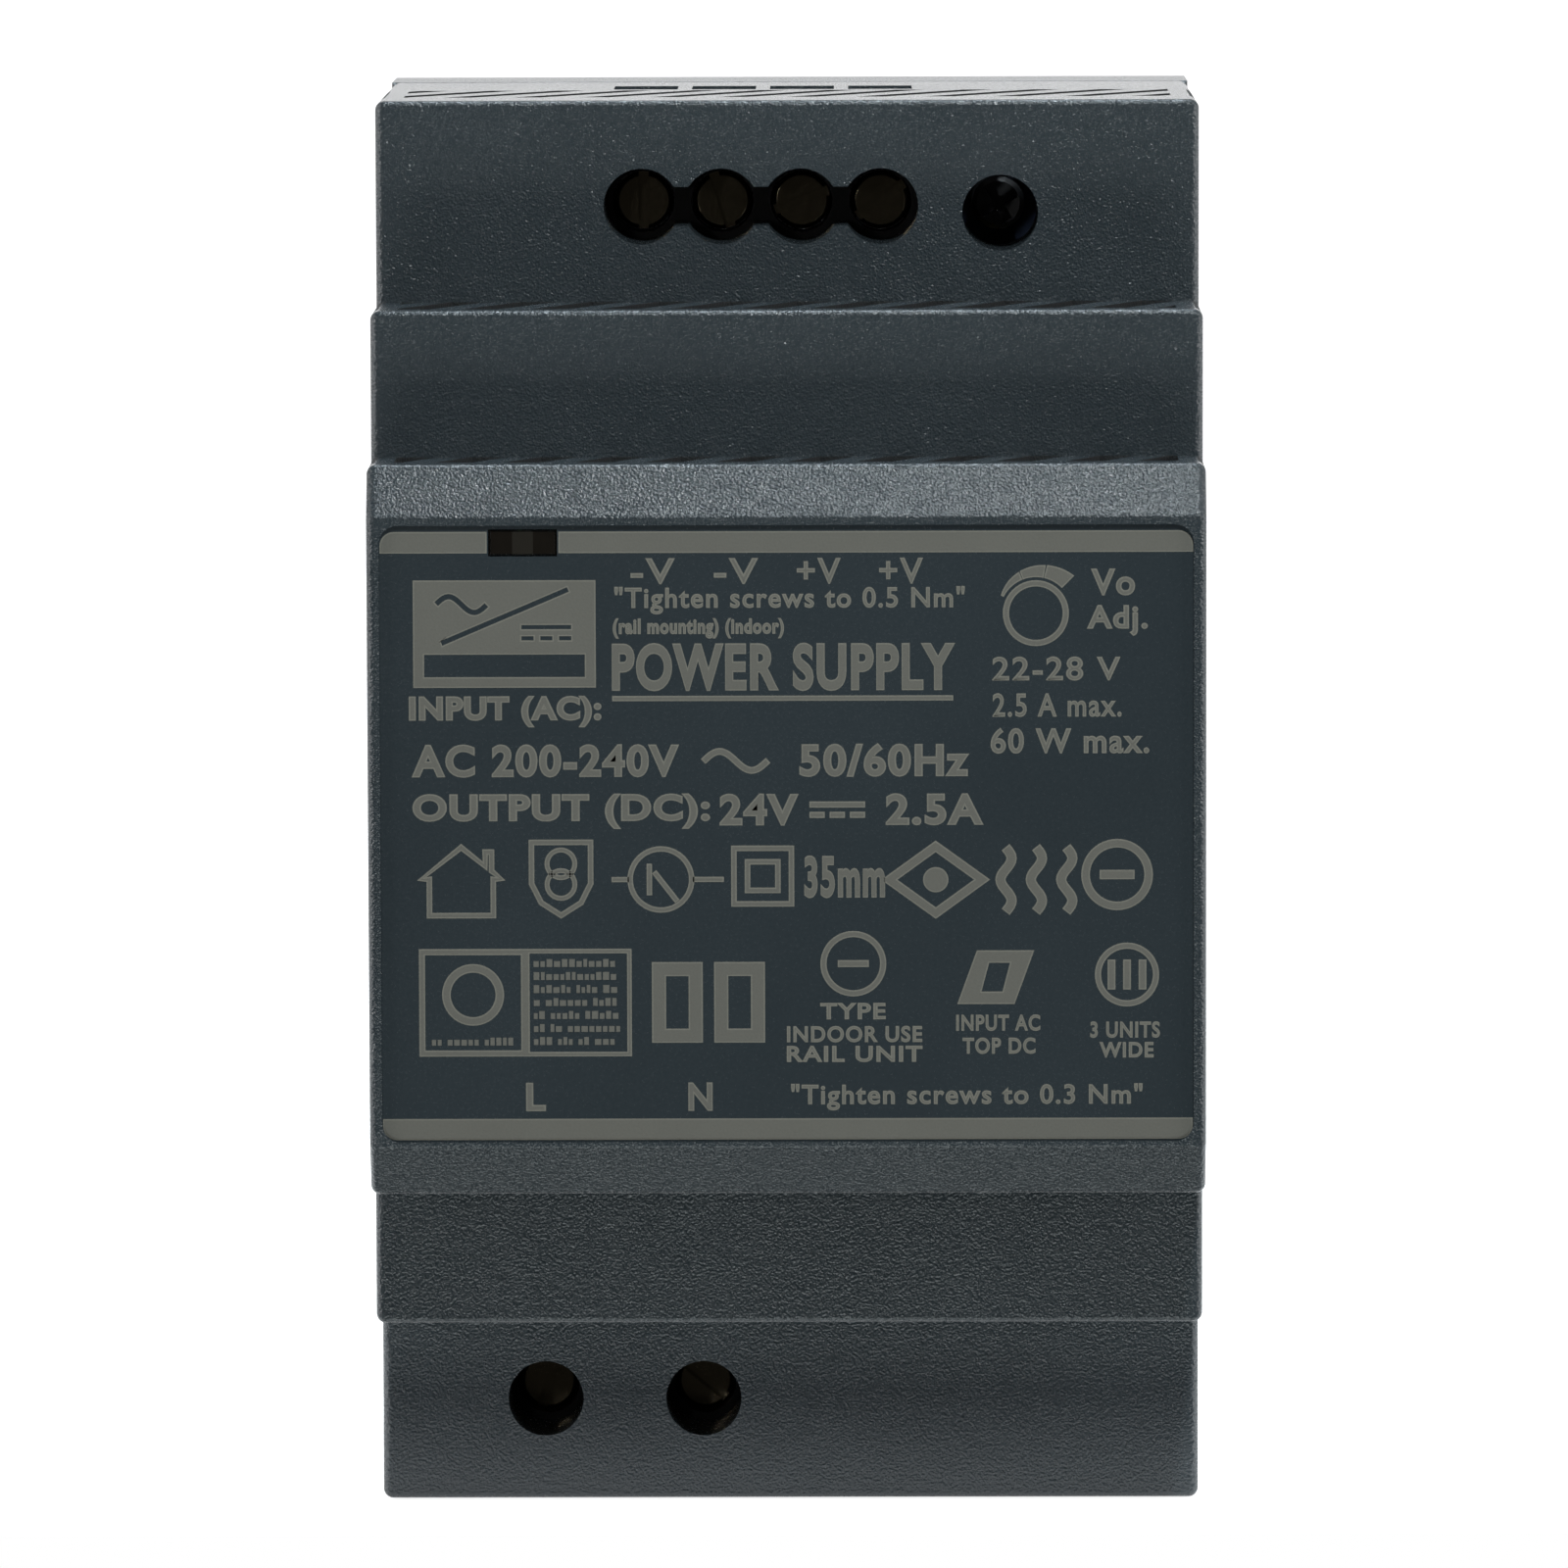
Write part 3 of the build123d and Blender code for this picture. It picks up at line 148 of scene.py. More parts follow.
class Sheet:
    """A node tree that nodes are added to."""

    def __init__(self, tree):
        self.tree = tree

    def feed(self, socket, value):
        if isinstance(value, Wire):
            self.tree.links.new(value.socket, socket)
        else:
            socket.default_value = value

    def add(self, kind, settings=None, sockets=None, out=0):
        """Adds a node: its settings first, then the values or links of its sockets."""
        node = self.tree.nodes.new(kind)
        for key, value in (settings or {}).items():
            if key == "stops":
                ramp = node.color_ramp
                while len(ramp.elements) < len(value):
                    ramp.elements.new(1.0)
                for element, (position, level) in zip(ramp.elements, value):
                    element.position = position
                    element.color = (level, level, level, 1.0)
            else:
                setattr(node, key, value)
        for key, value in (sockets or {}).items():
            self.feed(node.inputs[key], value)
        return Wire(self, node.outputs[out]) if node.outputs else node

    def mix(self, factor, first, second):
        """Mixes two colours, given as wires or as (red, green, blue)."""
        pair = [c if isinstance(c, Wire) else (*c, 1.0) for c in (first, second)]
        sockets = {0: factor, 6: pair[0], 7: pair[1]}
        return self.add("ShaderNodeMix", {"data_type": "RGBA"}, sockets, out=2)

    def noise(self, place, size, detail=2.0):
        """Noise whose blotches are about `size` metres across, from 0 to 1."""
        return self.add("ShaderNodeTexNoise", None,
                        {"Vector": place, "Scale": 1 / size, "Detail": detail})

    def cells(self, place, size):
        """Distance to the nearest of scattered points about `size` metres apart."""
        return self.add("ShaderNodeTexVoronoi", None, {"Vector": place, "Scale": 1 / size})


# %% [markdown]
# ## A helper for finishes
# Each finish below is a function that returns what varies over the surface: a colour, a roughness and
# a height for the bump. This helper makes the material around it. What is the same all over, such as
# the coat, is set as a plain number on the shader's own socket.

# %% Finish helper
def shade(colour, factor):
    return tuple(min(1.0, channel * factor) for channel in colour)


def finish(name, recipe, bump=0.0, **fixed):
    """Makes a material. recipe(sheet, place) gives wires named colour, roughness, metallic, height."""
    material = bpy.data.materials.new(name)
    material.use_nodes = True
    material.node_tree.nodes.clear()
    sheet = Sheet(material.node_tree)
    place = sheet.add("ShaderNodeTexCoord", out="Object")
    looks = recipe(sheet, place)
    sockets = {"Base Color": looks["colour"], "Roughness": looks["roughness"]}
    if "metallic" in looks:
        sockets["Metallic"] = looks["metallic"]
    if "height" in looks:
        sockets["Normal"] = sheet.add("ShaderNodeBump", None,
                                      {"Height": looks["height"], "Distance": bump})
    for key, value in fixed.items():
        sockets[key.replace("_", " ").title().replace("Ior", "IOR")] = value
    shader = sheet.add("ShaderNodeBsdfPrincipled", None, sockets)
    sheet.add("ShaderNodeOutputMaterial", None, {"Surface": shader})
    return material


def dress(piece, material):
    """Gives a piece this finish and no other."""
    piece.data.materials.clear()
    piece.data.materials.append(material)
    return piece


# %% [markdown]
# ## Moulded plastic
# The housing is moulded in a spark-eroded tool, so its skin is a random field of tiny pits and bumps
# about a fifth of a millimetre across. From straight on it looks flat and dark, and at a slant each bump
# glints. Noise of two sizes gives the pits, and a much larger noise gives the slow change of tone that
# the flow of the plastic leaves. Bump is enough here, because the relief is a few microns deep. On the
# shell the walls of the vents are mixed to near-black and made matt: painted shade for the dark slots.

# %% Moulded plastic
def between(value, low, high):
    """1 where the wire's value lies between two numbers, 0 elsewhere."""
    return (value > low) * (value < high)


def vent_shade_mask(split):
    """1 on the walls of the vents, where the shell gets painted shade; they lie inside the shell's faces
    that look up and down.
    """
    up = split.out("Z") * split.out("Z")
    found = 0.0
    for height, front, back in VENT_BANDS:
        deep = between(up, (height - SHELL_WALL) ** 2, (height - VENT_LIP) ** 2)
        found = found + deep * between(split.out("Y"), front, back)
    return found


def moulded(colour, pit, rough, polished_at=None):
    def recipe(sheet, place):
        coarse = sheet.noise(place, pit, 3.0)
        pits = sheet.cells(place, pit * 0.8)
        flow = sheet.noise(place, 14 * MM, 2.0)
        height = coarse * 0.8 + pits * 0.35
        sheen = rough + (coarse - 0.5) * 0.22 + (flow - 0.5) * 0.06
        tone = flow * 0.7 + coarse * 0.3
        tint = sheet.mix(tone, shade(colour, 0.82), shade(colour, 1.18))
        if polished_at is not None:
            split = sheet.add("ShaderNodeSeparateXYZ", None, {"Vector": place})
            painted_vent_shade = vent_shade_mask(split)
            # Painted shade: the walls of the vents are mixed to near-black and made matt, in place of the
            # shade inside the slots.
            tint = sheet.mix(painted_vent_shade, tint, shade(colour, 0.12))
            sheen = sheen + painted_vent_shade * 0.6
            deep = split.out("Y") - polished_at
            field = (deep * deep < FIELD_REACH ** 2) * (split.out("Z") ** 2.0 < LABEL_HALF ** 2)
            height = height * (1 - field * 0.85)
        return {"colour": tint, "roughness": sheen, "height": height}
    return recipe


SHELL_BLUE_GREY = (0.0230, 0.0305, 0.0355)
SHELL_PIT, SHELL_RELIEF = 0.19 * MM, 0.085 * MM
LABEL_HALF = 19.5 * MM
FIELD_REACH = 0.06 * MM             # how near to the label field a point counts as part of it
# The painted shade on the walls of the vents reaches from one wall's depth up to the lip under each band's
# face, so it stays off the outer skin.
SHELL_WALL = 1.6 * MM
VENT_LIP = 0.02 * MM                # keeps the dark walls off the outer skin
VENT_BANDS = [(45.0 * MM, -26.6 * MM, -16.4 * MM), (32.2 * MM, -39.5 * MM, -31.6 * MM),
              (23.0 * MM, -46.2 * MM, -41.2 * MM)]       # height, front and back of each band
shell_finish = finish("shell_plastic", moulded(SHELL_BLUE_GREY, SHELL_PIT, 0.24, LABEL_Y),
                      bump=SHELL_RELIEF)
base_finish = finish("base_plastic", moulded(shade(SHELL_BLUE_GREY, 0.95), SHELL_PIT, 0.28),
                     bump=SHELL_RELIEF)
latch_finish = finish("latch_plastic", moulded((0.018, 0.020, 0.022), 0.12 * MM, 0.40),
                      bump=0.010 * MM)
print("housing finishes:", shell_finish.name, base_finish.name, latch_finish.name)

# %% [markdown]
# ## Inner plastics
# Parts inside are moulded in polished or lightly blasted tools. The same recipe serves them with finer
# pits and their own colours.

# %% Inner plastics
nylon_finish = finish("terminal_nylon", moulded((0.006, 0.006, 0.006), 0.10 * MM, 0.50), bump=0.008 * MM,
                      specular_ior_level=0.15)
epoxy_finish = finish("moulded_epoxy", moulded((0.013, 0.013, 0.014), 0.08 * MM, 0.50), bump=0.006 * MM)
fuse_finish = finish("fuse_plastic", moulded((0.022, 0.022, 0.022), 0.20 * MM, 0.35), bump=0.004 * MM)
phenolic_finish = finish("phenolic", moulded((0.040, 0.022, 0.016), 0.15 * MM, 0.38), bump=0.006 * MM)
blue_finish = finish("trimmer_blue", moulded((0.012, 0.020, 0.045), 0.12 * MM, 0.40), bump=0.004 * MM)
rotor_finish = finish("rotor_black", moulded((0.016, 0.016, 0.017), 0.12 * MM, 0.42), bump=0.004 * MM)
box_finish = finish("capacitor_box", moulded((0.62, 0.42, 0.05), 0.18 * MM, 0.30), bump=0.003 * MM)


# %% [markdown]
# ## Plated metal
# Screws and clamps are pressed or turned steel with a thin plate, whose tone drifts and whose sheen is
# broken by handling marks. A stretched noise gives fine scratches. On the screws a sine along the axis
# raises the thread, but only behind the head. The screws keep a yellow-zinc tone but are darkened well
# below a real plate: painted shade for the deep holes they sit in.

# %% Plated metal
def plated(colour, rough, scratch, thread_from=None):
    def recipe(sheet, place):
        drift = sheet.noise(place, 1.5 * MM, 3.0)
        stretched = sheet.add("ShaderNodeMapping", None, {"Vector": place, "Scale": (1.0, 14.0, 1.0)})
        lines = sheet.noise(stretched, scratch, 2.0)
        height = lines * 0.25 + drift * 0.2
        if thread_from is not None:
            along = sheet.add("ShaderNodeSeparateXYZ", None, {"Vector": place}).out("Y")
            ridges = (along * (2 * math.pi / THREAD_PITCH)).wave()
            height = height + ridges * (along > thread_from) * 4.0
        return {
            "colour": sheet.mix(drift, shade(colour, 0.8), shade(colour, 1.1)),
            "roughness": rough + (lines - 0.5) * 0.2,
            "height": height,
        }
    return recipe


THREAD_PITCH = 0.5 * MM
HEAD_THICK = 1.8 * MM
screw_head_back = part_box("output_screw_1")[0].y + HEAD_THICK
# Painted shade: this screw colour is darkened far below real yellow zinc, in place of the shade in the deep
# terminal holes.
screw_finish_with_painted_shade = finish("passivated_zinc_painted_shade", plated((0.12, 0.10, 0.065), 0.14, 0.25 * MM, screw_head_back),
                      bump=0.010 * MM, metallic=1.0)
zinc_finish = finish("bright_zinc", plated((0.62, 0.63, 0.65), 0.28, 0.25 * MM), bump=0.006 * MM,
                     metallic=1.0)
tin_finish = finish("tin_plate", plated((0.70, 0.69, 0.66), 0.33, 0.4 * MM), bump=0.004 * MM, metallic=1.0)
wire_finish = finish("spring_wire", plated((0.52, 0.53, 0.55), 0.24, 0.2 * MM), bump=0.003 * MM,
                     metallic=1.0)
sink_finish = finish("mill_aluminium", plated((0.80, 0.81, 0.82), 0.36, 0.3 * MM), bump=0.006 * MM,
                     metallic=1.0)
solder_finish = finish("solder", plated((0.66, 0.67, 0.69), 0.22, 0.6 * MM), bump=0.010 * MM, metallic=1.0)
copper_finish = finish("enamelled_copper", plated((0.55, 0.20, 0.06), 0.22, 0.5 * MM), bump=0.003 * MM,
                       metallic=0.8, coat_weight=0.6, coat_roughness=0.1)


# %% [markdown]
# ## Circuit board
# A board is glass laminate under a green mask. Copper tracks show through as lighter, slightly raised
# lanes. Stepping a smooth noise into bands makes lanes that wander without crossing, and the weave of the
# glass is two crossed sines.

# %% Circuit board
def laminate(sheet, place):
    lanes = sheet.noise(place, 9 * MM, 0.0)
    bands = (lanes * 60.0).wave()
    track = (bands > 0.25) * (lanes > 0.42)
    split = sheet.add("ShaderNodeSeparateXYZ", None, {"Vector": place})
    across = (split.out("X") * (2 * math.pi / (0.9 * MM))).wave()
    up = (split.out("Z") * (2 * math.pi / (0.9 * MM))).wave()
    weave = across * up
    mask_green = sheet.mix(track, (0.006, 0.060, 0.022), (0.016, 0.130, 0.040))
    return {
        "colour": sheet.mix(weave * 0.10 + 0.10, mask_green, (0.02, 0.10, 0.05)),
        "roughness": 0.32 + weave * 0.03,
        "height": track + weave * 0.1,
    }


board_finish = finish("board_laminate", laminate, bump=0.03 * MM, coat_weight=0.3, coat_roughness=0.15)


# %% [markdown]
# ## Wound, dipped and sintered parts
# These finishes are for what can be glimpsed through the vents: ferrite with a speckled, slightly
# chipped skin, tape in overlapping turns, powder coat on the choke's ring, and thick dipped epoxy.

# %% Inner part finishes
def speckled(colour, grain, rough, contrast):
    def recipe(sheet, place):
        grains = sheet.noise(place, grain, 4.0)
        dents = sheet.cells(place, grain * 6)
        return {
            "colour": sheet.mix(grains, shade(colour, 1 - contrast), shade(colour, 1 + contrast)),
            "roughness": rough + (grains - 0.5) * 0.3,
            "height": grains * 0.6 + dents * 0.4,
        }
    return recipe


def taped(sheet, place):
    along = sheet.add("ShaderNodeSeparateXYZ", None, {"Vector": place}).out("X")
    turns = (along * (2 * math.pi / (4.8 * MM))).wave()
    wrinkles = sheet.noise(place, 2.5 * MM, 3.0)
    edge = (turns > 0.94) * 0.5
    return {
        "colour": sheet.mix(wrinkles * 0.6 + edge, (0.60, 0.44, 0.06), (0.42, 0.28, 0.03)),
        "roughness": 0.22 + wrinkles * 0.15,
        "height": wrinkles + edge,
    }


ferrite_finish = finish("ferrite", speckled((0.045, 0.045, 0.048), 0.12 * MM, 0.55, 0.35), bump=0.015 * MM)
powder_finish = finish("powder_coat", speckled((0.03, 0.13, 0.06), 0.3 * MM, 0.35, 0.2), bump=0.020 * MM)
tape_finish = finish("winding_tape", taped, bump=0.05 * MM)
dip_blue_finish = finish("dipped_blue", speckled((0.02, 0.08, 0.26), 1.2 * MM, 0.22, 0.15), bump=0.05 * MM,
                         coat_weight=0.5, coat_roughness=0.1)
dip_green_finish = finish("dipped_green", speckled((0.05, 0.08, 0.05), 0.8 * MM, 0.35, 0.2), bump=0.04 * MM)
film_finish = finish("insulation_film", speckled((0.68, 0.67, 0.60), 1.0 * MM, 0.40, 0.05), bump=0.01 * MM)
ceramic_finish = finish("chip_ceramic", speckled((0.10, 0.09, 0.08), 0.3 * MM, 0.45, 0.3), bump=0.01 * MM)


# %% [markdown]
# ## Capacitor sleeves
# A can capacitor is aluminium in a shrunk dark sleeve, with the bare can showing on its end and a pale
# stripe down the side of the negative lead. Each capacitor gets its own finish, because the formula
# needs the axis of that can: the distance from the axis decides between metal and sleeve.

# %% Capacitor finishes
def sleeved(node):
    low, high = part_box(node)
    middle = (low + high) / 2
    radius = (high.x - low.x) / 2
    top = low.y + 0.9 * MM

    def recipe(sheet, place):
        split = sheet.add("ShaderNodeSeparateXYZ", None, {"Vector": place})
        aside = split.out("X") - middle.x
        above = split.out("Z") - middle.z
        reach = (aside * aside + above * above) ** 0.5
        bare = (split.out("Y") < top) * (reach < radius - 0.7 * MM)
        stripe = (aside < -0.75 * radius) * (1 - bare)
        grain = sheet.noise(place, 0.8 * MM, 2.0)
        sleeve = sheet.mix(stripe, (0.012, 0.014, 0.030), (0.42, 0.42, 0.40))
        return {
            "colour": sheet.mix(bare, sleeve, (0.78, 0.79, 0.80)),
            "roughness": 0.28 + bare * 0.12 + grain * 0.06,
            "metallic": bare,
            "height": grain,
        }
    return finish(node + "_sleeve", recipe, bump=0.01 * MM)


# %% [markdown]
# ## Lamp window
# The window is smoked clear plastic with polished faces, so it looks almost black and mirrors the room.
# A low roughness and a warm near-black colour give that. The lamp behind it is diffused green plastic.

# %% Window and lamp
def polished(colour, rough):
    def recipe(sheet, place):
        haze = sheet.noise(place, 1.2 * MM, 2.0)
        return {
            "colour": sheet.mix(haze, shade(colour, 0.7), shade(colour, 1.4)),
            "roughness": rough + haze * 0.05,
            "height": haze,
        }
    return recipe


def smoked(sheet, place):
    aside = (sheet.add("ShaderNodeSeparateXYZ", None, {"Vector": place}).out("X") - window_middle) / MM
    guide = (aside * aside) < 0.42
    haze = sheet.noise(place, 1.2 * MM, 2.0)
    glass = sheet.mix(haze, (0.004, 0.003, 0.002), (0.008, 0.006, 0.004))
    return {
        "colour": sheet.mix(guide, glass, (0.016, 0.014, 0.011)),
        "roughness": 0.06 + haze * 0.05,
        "height": haze,
    }


window_middle = sum(corner.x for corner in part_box("lamp_window")) / 2
window_finish = finish("smoked_window", smoked, bump=0.002 * MM, coat_weight=1.0, coat_roughness=0.03)
lamp_finish = finish("lamp_green", polished((0.10, 0.32, 0.12), 0.15), bump=0.002 * MM)

# %% [markdown]
# ## Dress the CAD parts
# Names of parts say what they are made of, so a short list of name beginnings is enough to hand out the
# finishes. The first that fits wins.

# %% Hand out the finishes
FINISHES = [
    ("front_shell", shell_finish), ("rear_base", base_finish), ("rail_latch", latch_finish),
    ("lamp_window", window_finish), ("indicator_led", lamp_finish),
    ("output_terminal_body", nylon_finish), ("input_terminal_body", nylon_finish),
    ("output_screw", screw_finish_with_painted_shade), ("input_screw", screw_finish_with_painted_shade), ("heat_sink_screws", zinc_finish),
    ("output_clamp", zinc_finish), ("input_clamp", zinc_finish),
    ("output_contact_bars", tin_finish), ("input_contact_bars", tin_finish),
    ("solder_joints", solder_finish), ("latch_spring", wire_finish),
    ("main_board", board_finish), ("riser_board", board_finish),
    ("insulation_sheet", film_finish), ("fuse", fuse_finish), ("chip_parts", ceramic_finish),
    ("varistor", dip_blue_finish), ("y_capacitor", dip_blue_finish),
    ("inrush_thermistor", dip_green_finish), ("x_capacitor", box_finish),
    ("choke_core", powder_finish), ("choke_windings", copper_finish), ("choke_base", phenolic_finish),
    ("inductor_core", ferrite_finish), ("inductor_winding", copper_finish),
    ("transformer_core", ferrite_finish), ("transformer_bobbin", phenolic_finish),
    ("transformer_winding", tape_finish),
    ("primary_heat_sink", sink_finish), ("secondary_heat_sink", sink_finish),
    ("trimmer_body", blue_finish), ("trimmer_rotor", rotor_finish), ("", epoxy_finish),
]
for name, node in nodes.items():
    if name.startswith(("bulk_capacitor", "output_capacitor")):
        dress(node, sleeved(name))
    else:
        dress(node, next(look for start, look in FINISHES if name.startswith(start)))
print("dressed", len(nodes), "CAD parts")


# %% [markdown]
# ## Geometry Nodes helper
# Pieces that repeat or follow a path are grown by Geometry Nodes: a tree is built with named inputs, a
# modifier runs it once, and the result becomes a plain mesh. The tree ends in Realize Instances and Set
# Material, so nothing depends on the modifier afterwards.

# %% Growing pieces
class Grower(Sheet):
    """A Geometry Nodes tree with named inputs."""

    def __init__(self, name):
        super().__init__(bpy.data.node_groups.new(name, "GeometryNodeTree"))
        self.tree.interface.new_socket("Geometry", in_out="OUTPUT", socket_type="NodeSocketGeometry")
        self.entry = self.tree.nodes.new("NodeGroupInput")

    def ask(self, name, kind="Float"):
        """A named input of the tree."""
        self.tree.interface.new_socket(name, in_out="INPUT", socket_type="NodeSocket" + kind)
        return Wire(self, self.entry.outputs[name])

    def end(self, geometry):
        look = self.ask("Finish", "Material")
        solid = self.add("GeometryNodeRealizeInstances", None, {"Geometry": geometry})
        painted = self.add("GeometryNodeSetMaterial", None, {"Geometry": solid, "Material": look})
        self.add("NodeGroupOutput", None, {"Geometry": painted})
        return self.tree


def grow(name, tree, values, material):
    """Runs a tree with these inputs and keeps the result as a plain mesh object."""
    carrier = bpy.data.objects.new(name + "_carrier", bpy.data.meshes.new(name + "_carrier"))
    bpy.context.scene.collection.objects.link(carrier)
    modifier = carrier.modifiers.new("grow", "NODES")
    modifier.node_group = tree
    sockets = {item.name: item.identifier for item in tree.interface.items_tree
               if item.in_out == "INPUT"}
    for key, value in {**values, "Finish": material}.items():
        modifier[sockets[key]] = value
    ready = carrier.evaluated_get(bpy.context.evaluated_depsgraph_get())
    mesh = bpy.data.meshes.new_from_object(ready)
    mesh.name = name
    bpy.data.objects.remove(carrier)
    piece = bpy.data.objects.new(name, mesh)
    bpy.context.scene.collection.objects.link(piece)
    return dress(piece, material)


# %% [markdown]
# ## Coils
# The latch spring and the inductor's winding are both wire on a helix. A Spiral curve with a round
# profile swept along it makes either, and the tree only needs the radius, the height, the number of
# turns and the wire's radius. It grows along Z from the origin, and the mesh is then put in place.

# %% Coil tree
def coil_tree():
    grower = Grower("wire_coil")
    turns, radius = grower.ask("Turns"), grower.ask("Coil Radius")
    height, wire = grower.ask("Height"), grower.ask("Wire Radius")
    steps = grower.ask("Steps Per Turn", "Int")
    path = grower.add("GeometryNodeCurveSpiral", None,
                      {"Resolution": steps, "Rotations": turns, "Start Radius": radius,
                       "End Radius": radius, "Height": height})
    section = grower.add("GeometryNodeCurvePrimitiveCircle", None, {"Resolution": 10, "Radius": wire})
    tube = grower.add("GeometryNodeCurveToMesh", None,
                      {"Curve": path, "Profile Curve": section, "Fill Caps": True})
    return grower.end(tube)


coil = coil_tree()

# %% [markdown]
# ## Latch spring
# A compression spring in the latch's pocket pushes the latch up under the rail. It stands on the post of
# the rear base and shortens when the latch is pulled down. Here it rides with the housing.

# %% Latch spring
spring_low, spring_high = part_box("latch_spring")
spring_wire = 0.17 * MM
spring_radius = (spring_high.x - spring_low.x) / 2 - spring_wire
spring_turns = 11
spring = grow("latch_spring_coil", coil,
              {"Turns": spring_turns, "Coil Radius": spring_radius,
               "Height": spring_high.z - spring_low.z - 2 * spring_wire,
               "Wire Radius": spring_wire, "Steps Per Turn": 20}, wire_finish)
spring_axis = (spring_low + spring_high) / 2
spring.data.transform(Matrix.Translation((0, spring_axis.y, spring_low.z + spring_wire)))
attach(spring, "housing")
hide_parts("latch_spring")
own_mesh(spring)

# %% [markdown]
# ## Inductor winding
# The output inductor is a drum of ferrite wound with thick copper. The same coil tree makes its wire: the
# drum lies along the depth, so the coil is turned from Z to Y before it is put in place.

# %% Inductor winding
wound_low, wound_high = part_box("inductor_winding")
wound_middle = (wound_low + wound_high) / 2
strand = 0.37 * MM
for layer, radius in enumerate((3.6 * MM, 2.88 * MM)):
    winding = grow(f"inductor_wire_{layer + 1}", coil,
                   {"Turns": 11.0, "Coil Radius": radius, "Height": wound_high.y - wound_low.y - 2 * strand,
                    "Wire Radius": strand, "Steps Per Turn": 28}, copper_finish)
    place = Matrix.Translation((wound_middle.x, wound_high.y - strand, wound_middle.z))
    winding.data.transform(place @ Matrix.Rotation(math.radians(90), 4, "X"))
    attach(winding, "housing")
    if layer == 0:
        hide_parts("inductor_winding")


# %% [markdown]
# ## Choke windings
# The mains choke is a coated ring with two windings, one on each side. One turn is a rounded rectangle of
# wire, and a tree stands copies of it on points of an arc, each turned to face along the ring.

# %% Choke windings
def choke_tree():
    grower = Grower("choke_turns")
    count, middle_angle = grower.ask("Turns", "Int"), grower.ask("Middle Angle")
    step, ring = grower.ask("Angle Step"), grower.ask("Ring Radius")
    wide, tall, wire = grower.ask("Turn Width"), grower.ask("Turn Height"), grower.ask("Wire Radius")
    loop = grower.add("GeometryNodeCurvePrimitiveQuadrilateral", None, {"Width": wide, "Height": tall})
    bent = grower.add("GeometryNodeFilletCurve", {"mode": "POLY"},
                      {"Curve": loop, "Radius": wire * 1.6, "Count": 5})
    section = grower.add("GeometryNodeCurvePrimitiveCircle", None, {"Resolution": 10, "Radius": wire})
    turn = grower.add("GeometryNodeCurveToMesh", None, {"Curve": bent, "Profile Curve": section})
    number = grower.add("GeometryNodeInputIndex")
    angle = (number - (count - 1) / 2) * step + middle_angle
    spot = grower.add("ShaderNodeCombineXYZ", None,
                      {"X": angle.cosine() * ring, "Y": angle.wave() * ring})
    points = grower.add("GeometryNodePoints", None, {"Count": count, "Position": spot})
    facing = grower.add("ShaderNodeCombineXYZ", None, {"X": math.radians(90), "Z": angle})
    turns = grower.add("GeometryNodeInstanceOnPoints", None,
                       {"Points": points, "Instance": turn, "Rotation": facing})
    return grower.end(turns)


core_low, core_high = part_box("choke_core")
core_middle = (core_low + core_high) / 2
ring_outer = (core_high.x - core_low.x) / 2
ring_wall = 3.3 * MM
choke_wire = 0.42 * MM
choke_turn_tree = choke_tree()
for side, middle_angle in (("right", 0.0), ("left", math.pi)):
    winding = grow(f"choke_winding_{side}", choke_turn_tree,
                   {"Turns": 9, "Middle Angle": middle_angle, "Angle Step": math.radians(13.5),
                    "Ring Radius": ring_outer - ring_wall / 2, "Turn Width": ring_wall + 2.1 * choke_wire,
                    "Turn Height": core_high.z - core_low.z + 2.1 * choke_wire, "Wire Radius": choke_wire},
                   copper_finish)
    winding.data.transform(Matrix.Translation(core_middle))
    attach(winding, "housing")
    if side == "right":
        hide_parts("choke_windings")
print("windings of the choke and the inductor are wire")

# %% [markdown]
# ## Marks on the nose
# The nose carries laser marks: the laser foams the plastic's skin, which leaves pale, matte shapes with
# a slightly paler rim where its beam turned. Each mark is a flat outline given a little thickness, made
# twice: a wider, lower copy for the rim and a narrower, higher one for the fill.

# %% Outline helpers
MARK_RIM = 0.045 * MM
MARK_FILL_HEIGHT = 0.024 * MM
MARK_RIM_HEIGHT = 0.014 * MM


def lasered(colour, rough):
    def recipe(sheet, place):
        grain = sheet.noise(place, 0.16 * MM, 3.0)
        patch = sheet.noise(place, 3 * MM, 2.0)
        return {
            "colour": sheet.mix(grain * 0.7 + patch * 0.3, shade(colour, 0.80), shade(colour, 1.20)),
            "roughness": rough + (grain - 0.5) * 0.15,
            "height": grain,
        }
    return recipe


mark_finish = finish("laser_mark", lasered((0.101, 0.098, 0.084), 0.62), bump=0.012 * MM)
rim_finish = finish("laser_mark_rim", lasered((0.150, 0.144, 0.121), 0.60), bump=0.012 * MM)
fills, rims = [], []


def box_loop(left, low, right, high):
    return [(left, low), (right, low), (right, high), (left, high)]


def arc_points(x, z, radius, start=0.0, stop=360.0, count=48):
    """Points on an arc, angles in degrees from +X towards +Z."""
    full = stop - start >= 360
    steps = count if full else count - 1
    angles = [math.radians(start + (stop - start) * i / steps) for i in range(count)]
    return [(x + radius * math.cos(a), z + radius * math.sin(a)) for a in angles]


def rounded_box(left, low, right, high, radii):
    """A box whose corners have these radii, from the lower left one counter-clockwise."""
    loop = []
    corners = ((left, low, 1, 1, 180), (right, low, -1, 1, 270),
               (right, high, -1, -1, 0), (left, high, 1, -1, 90))
    for (x, z, inward_x, inward_z, start), radius in zip(corners, radii):
        if radius:
            loop += arc_points(x + inward_x * radius, z + inward_z * radius, radius, start, start + 90, 8)
        else:
            loop.append((x, z))
    return loop


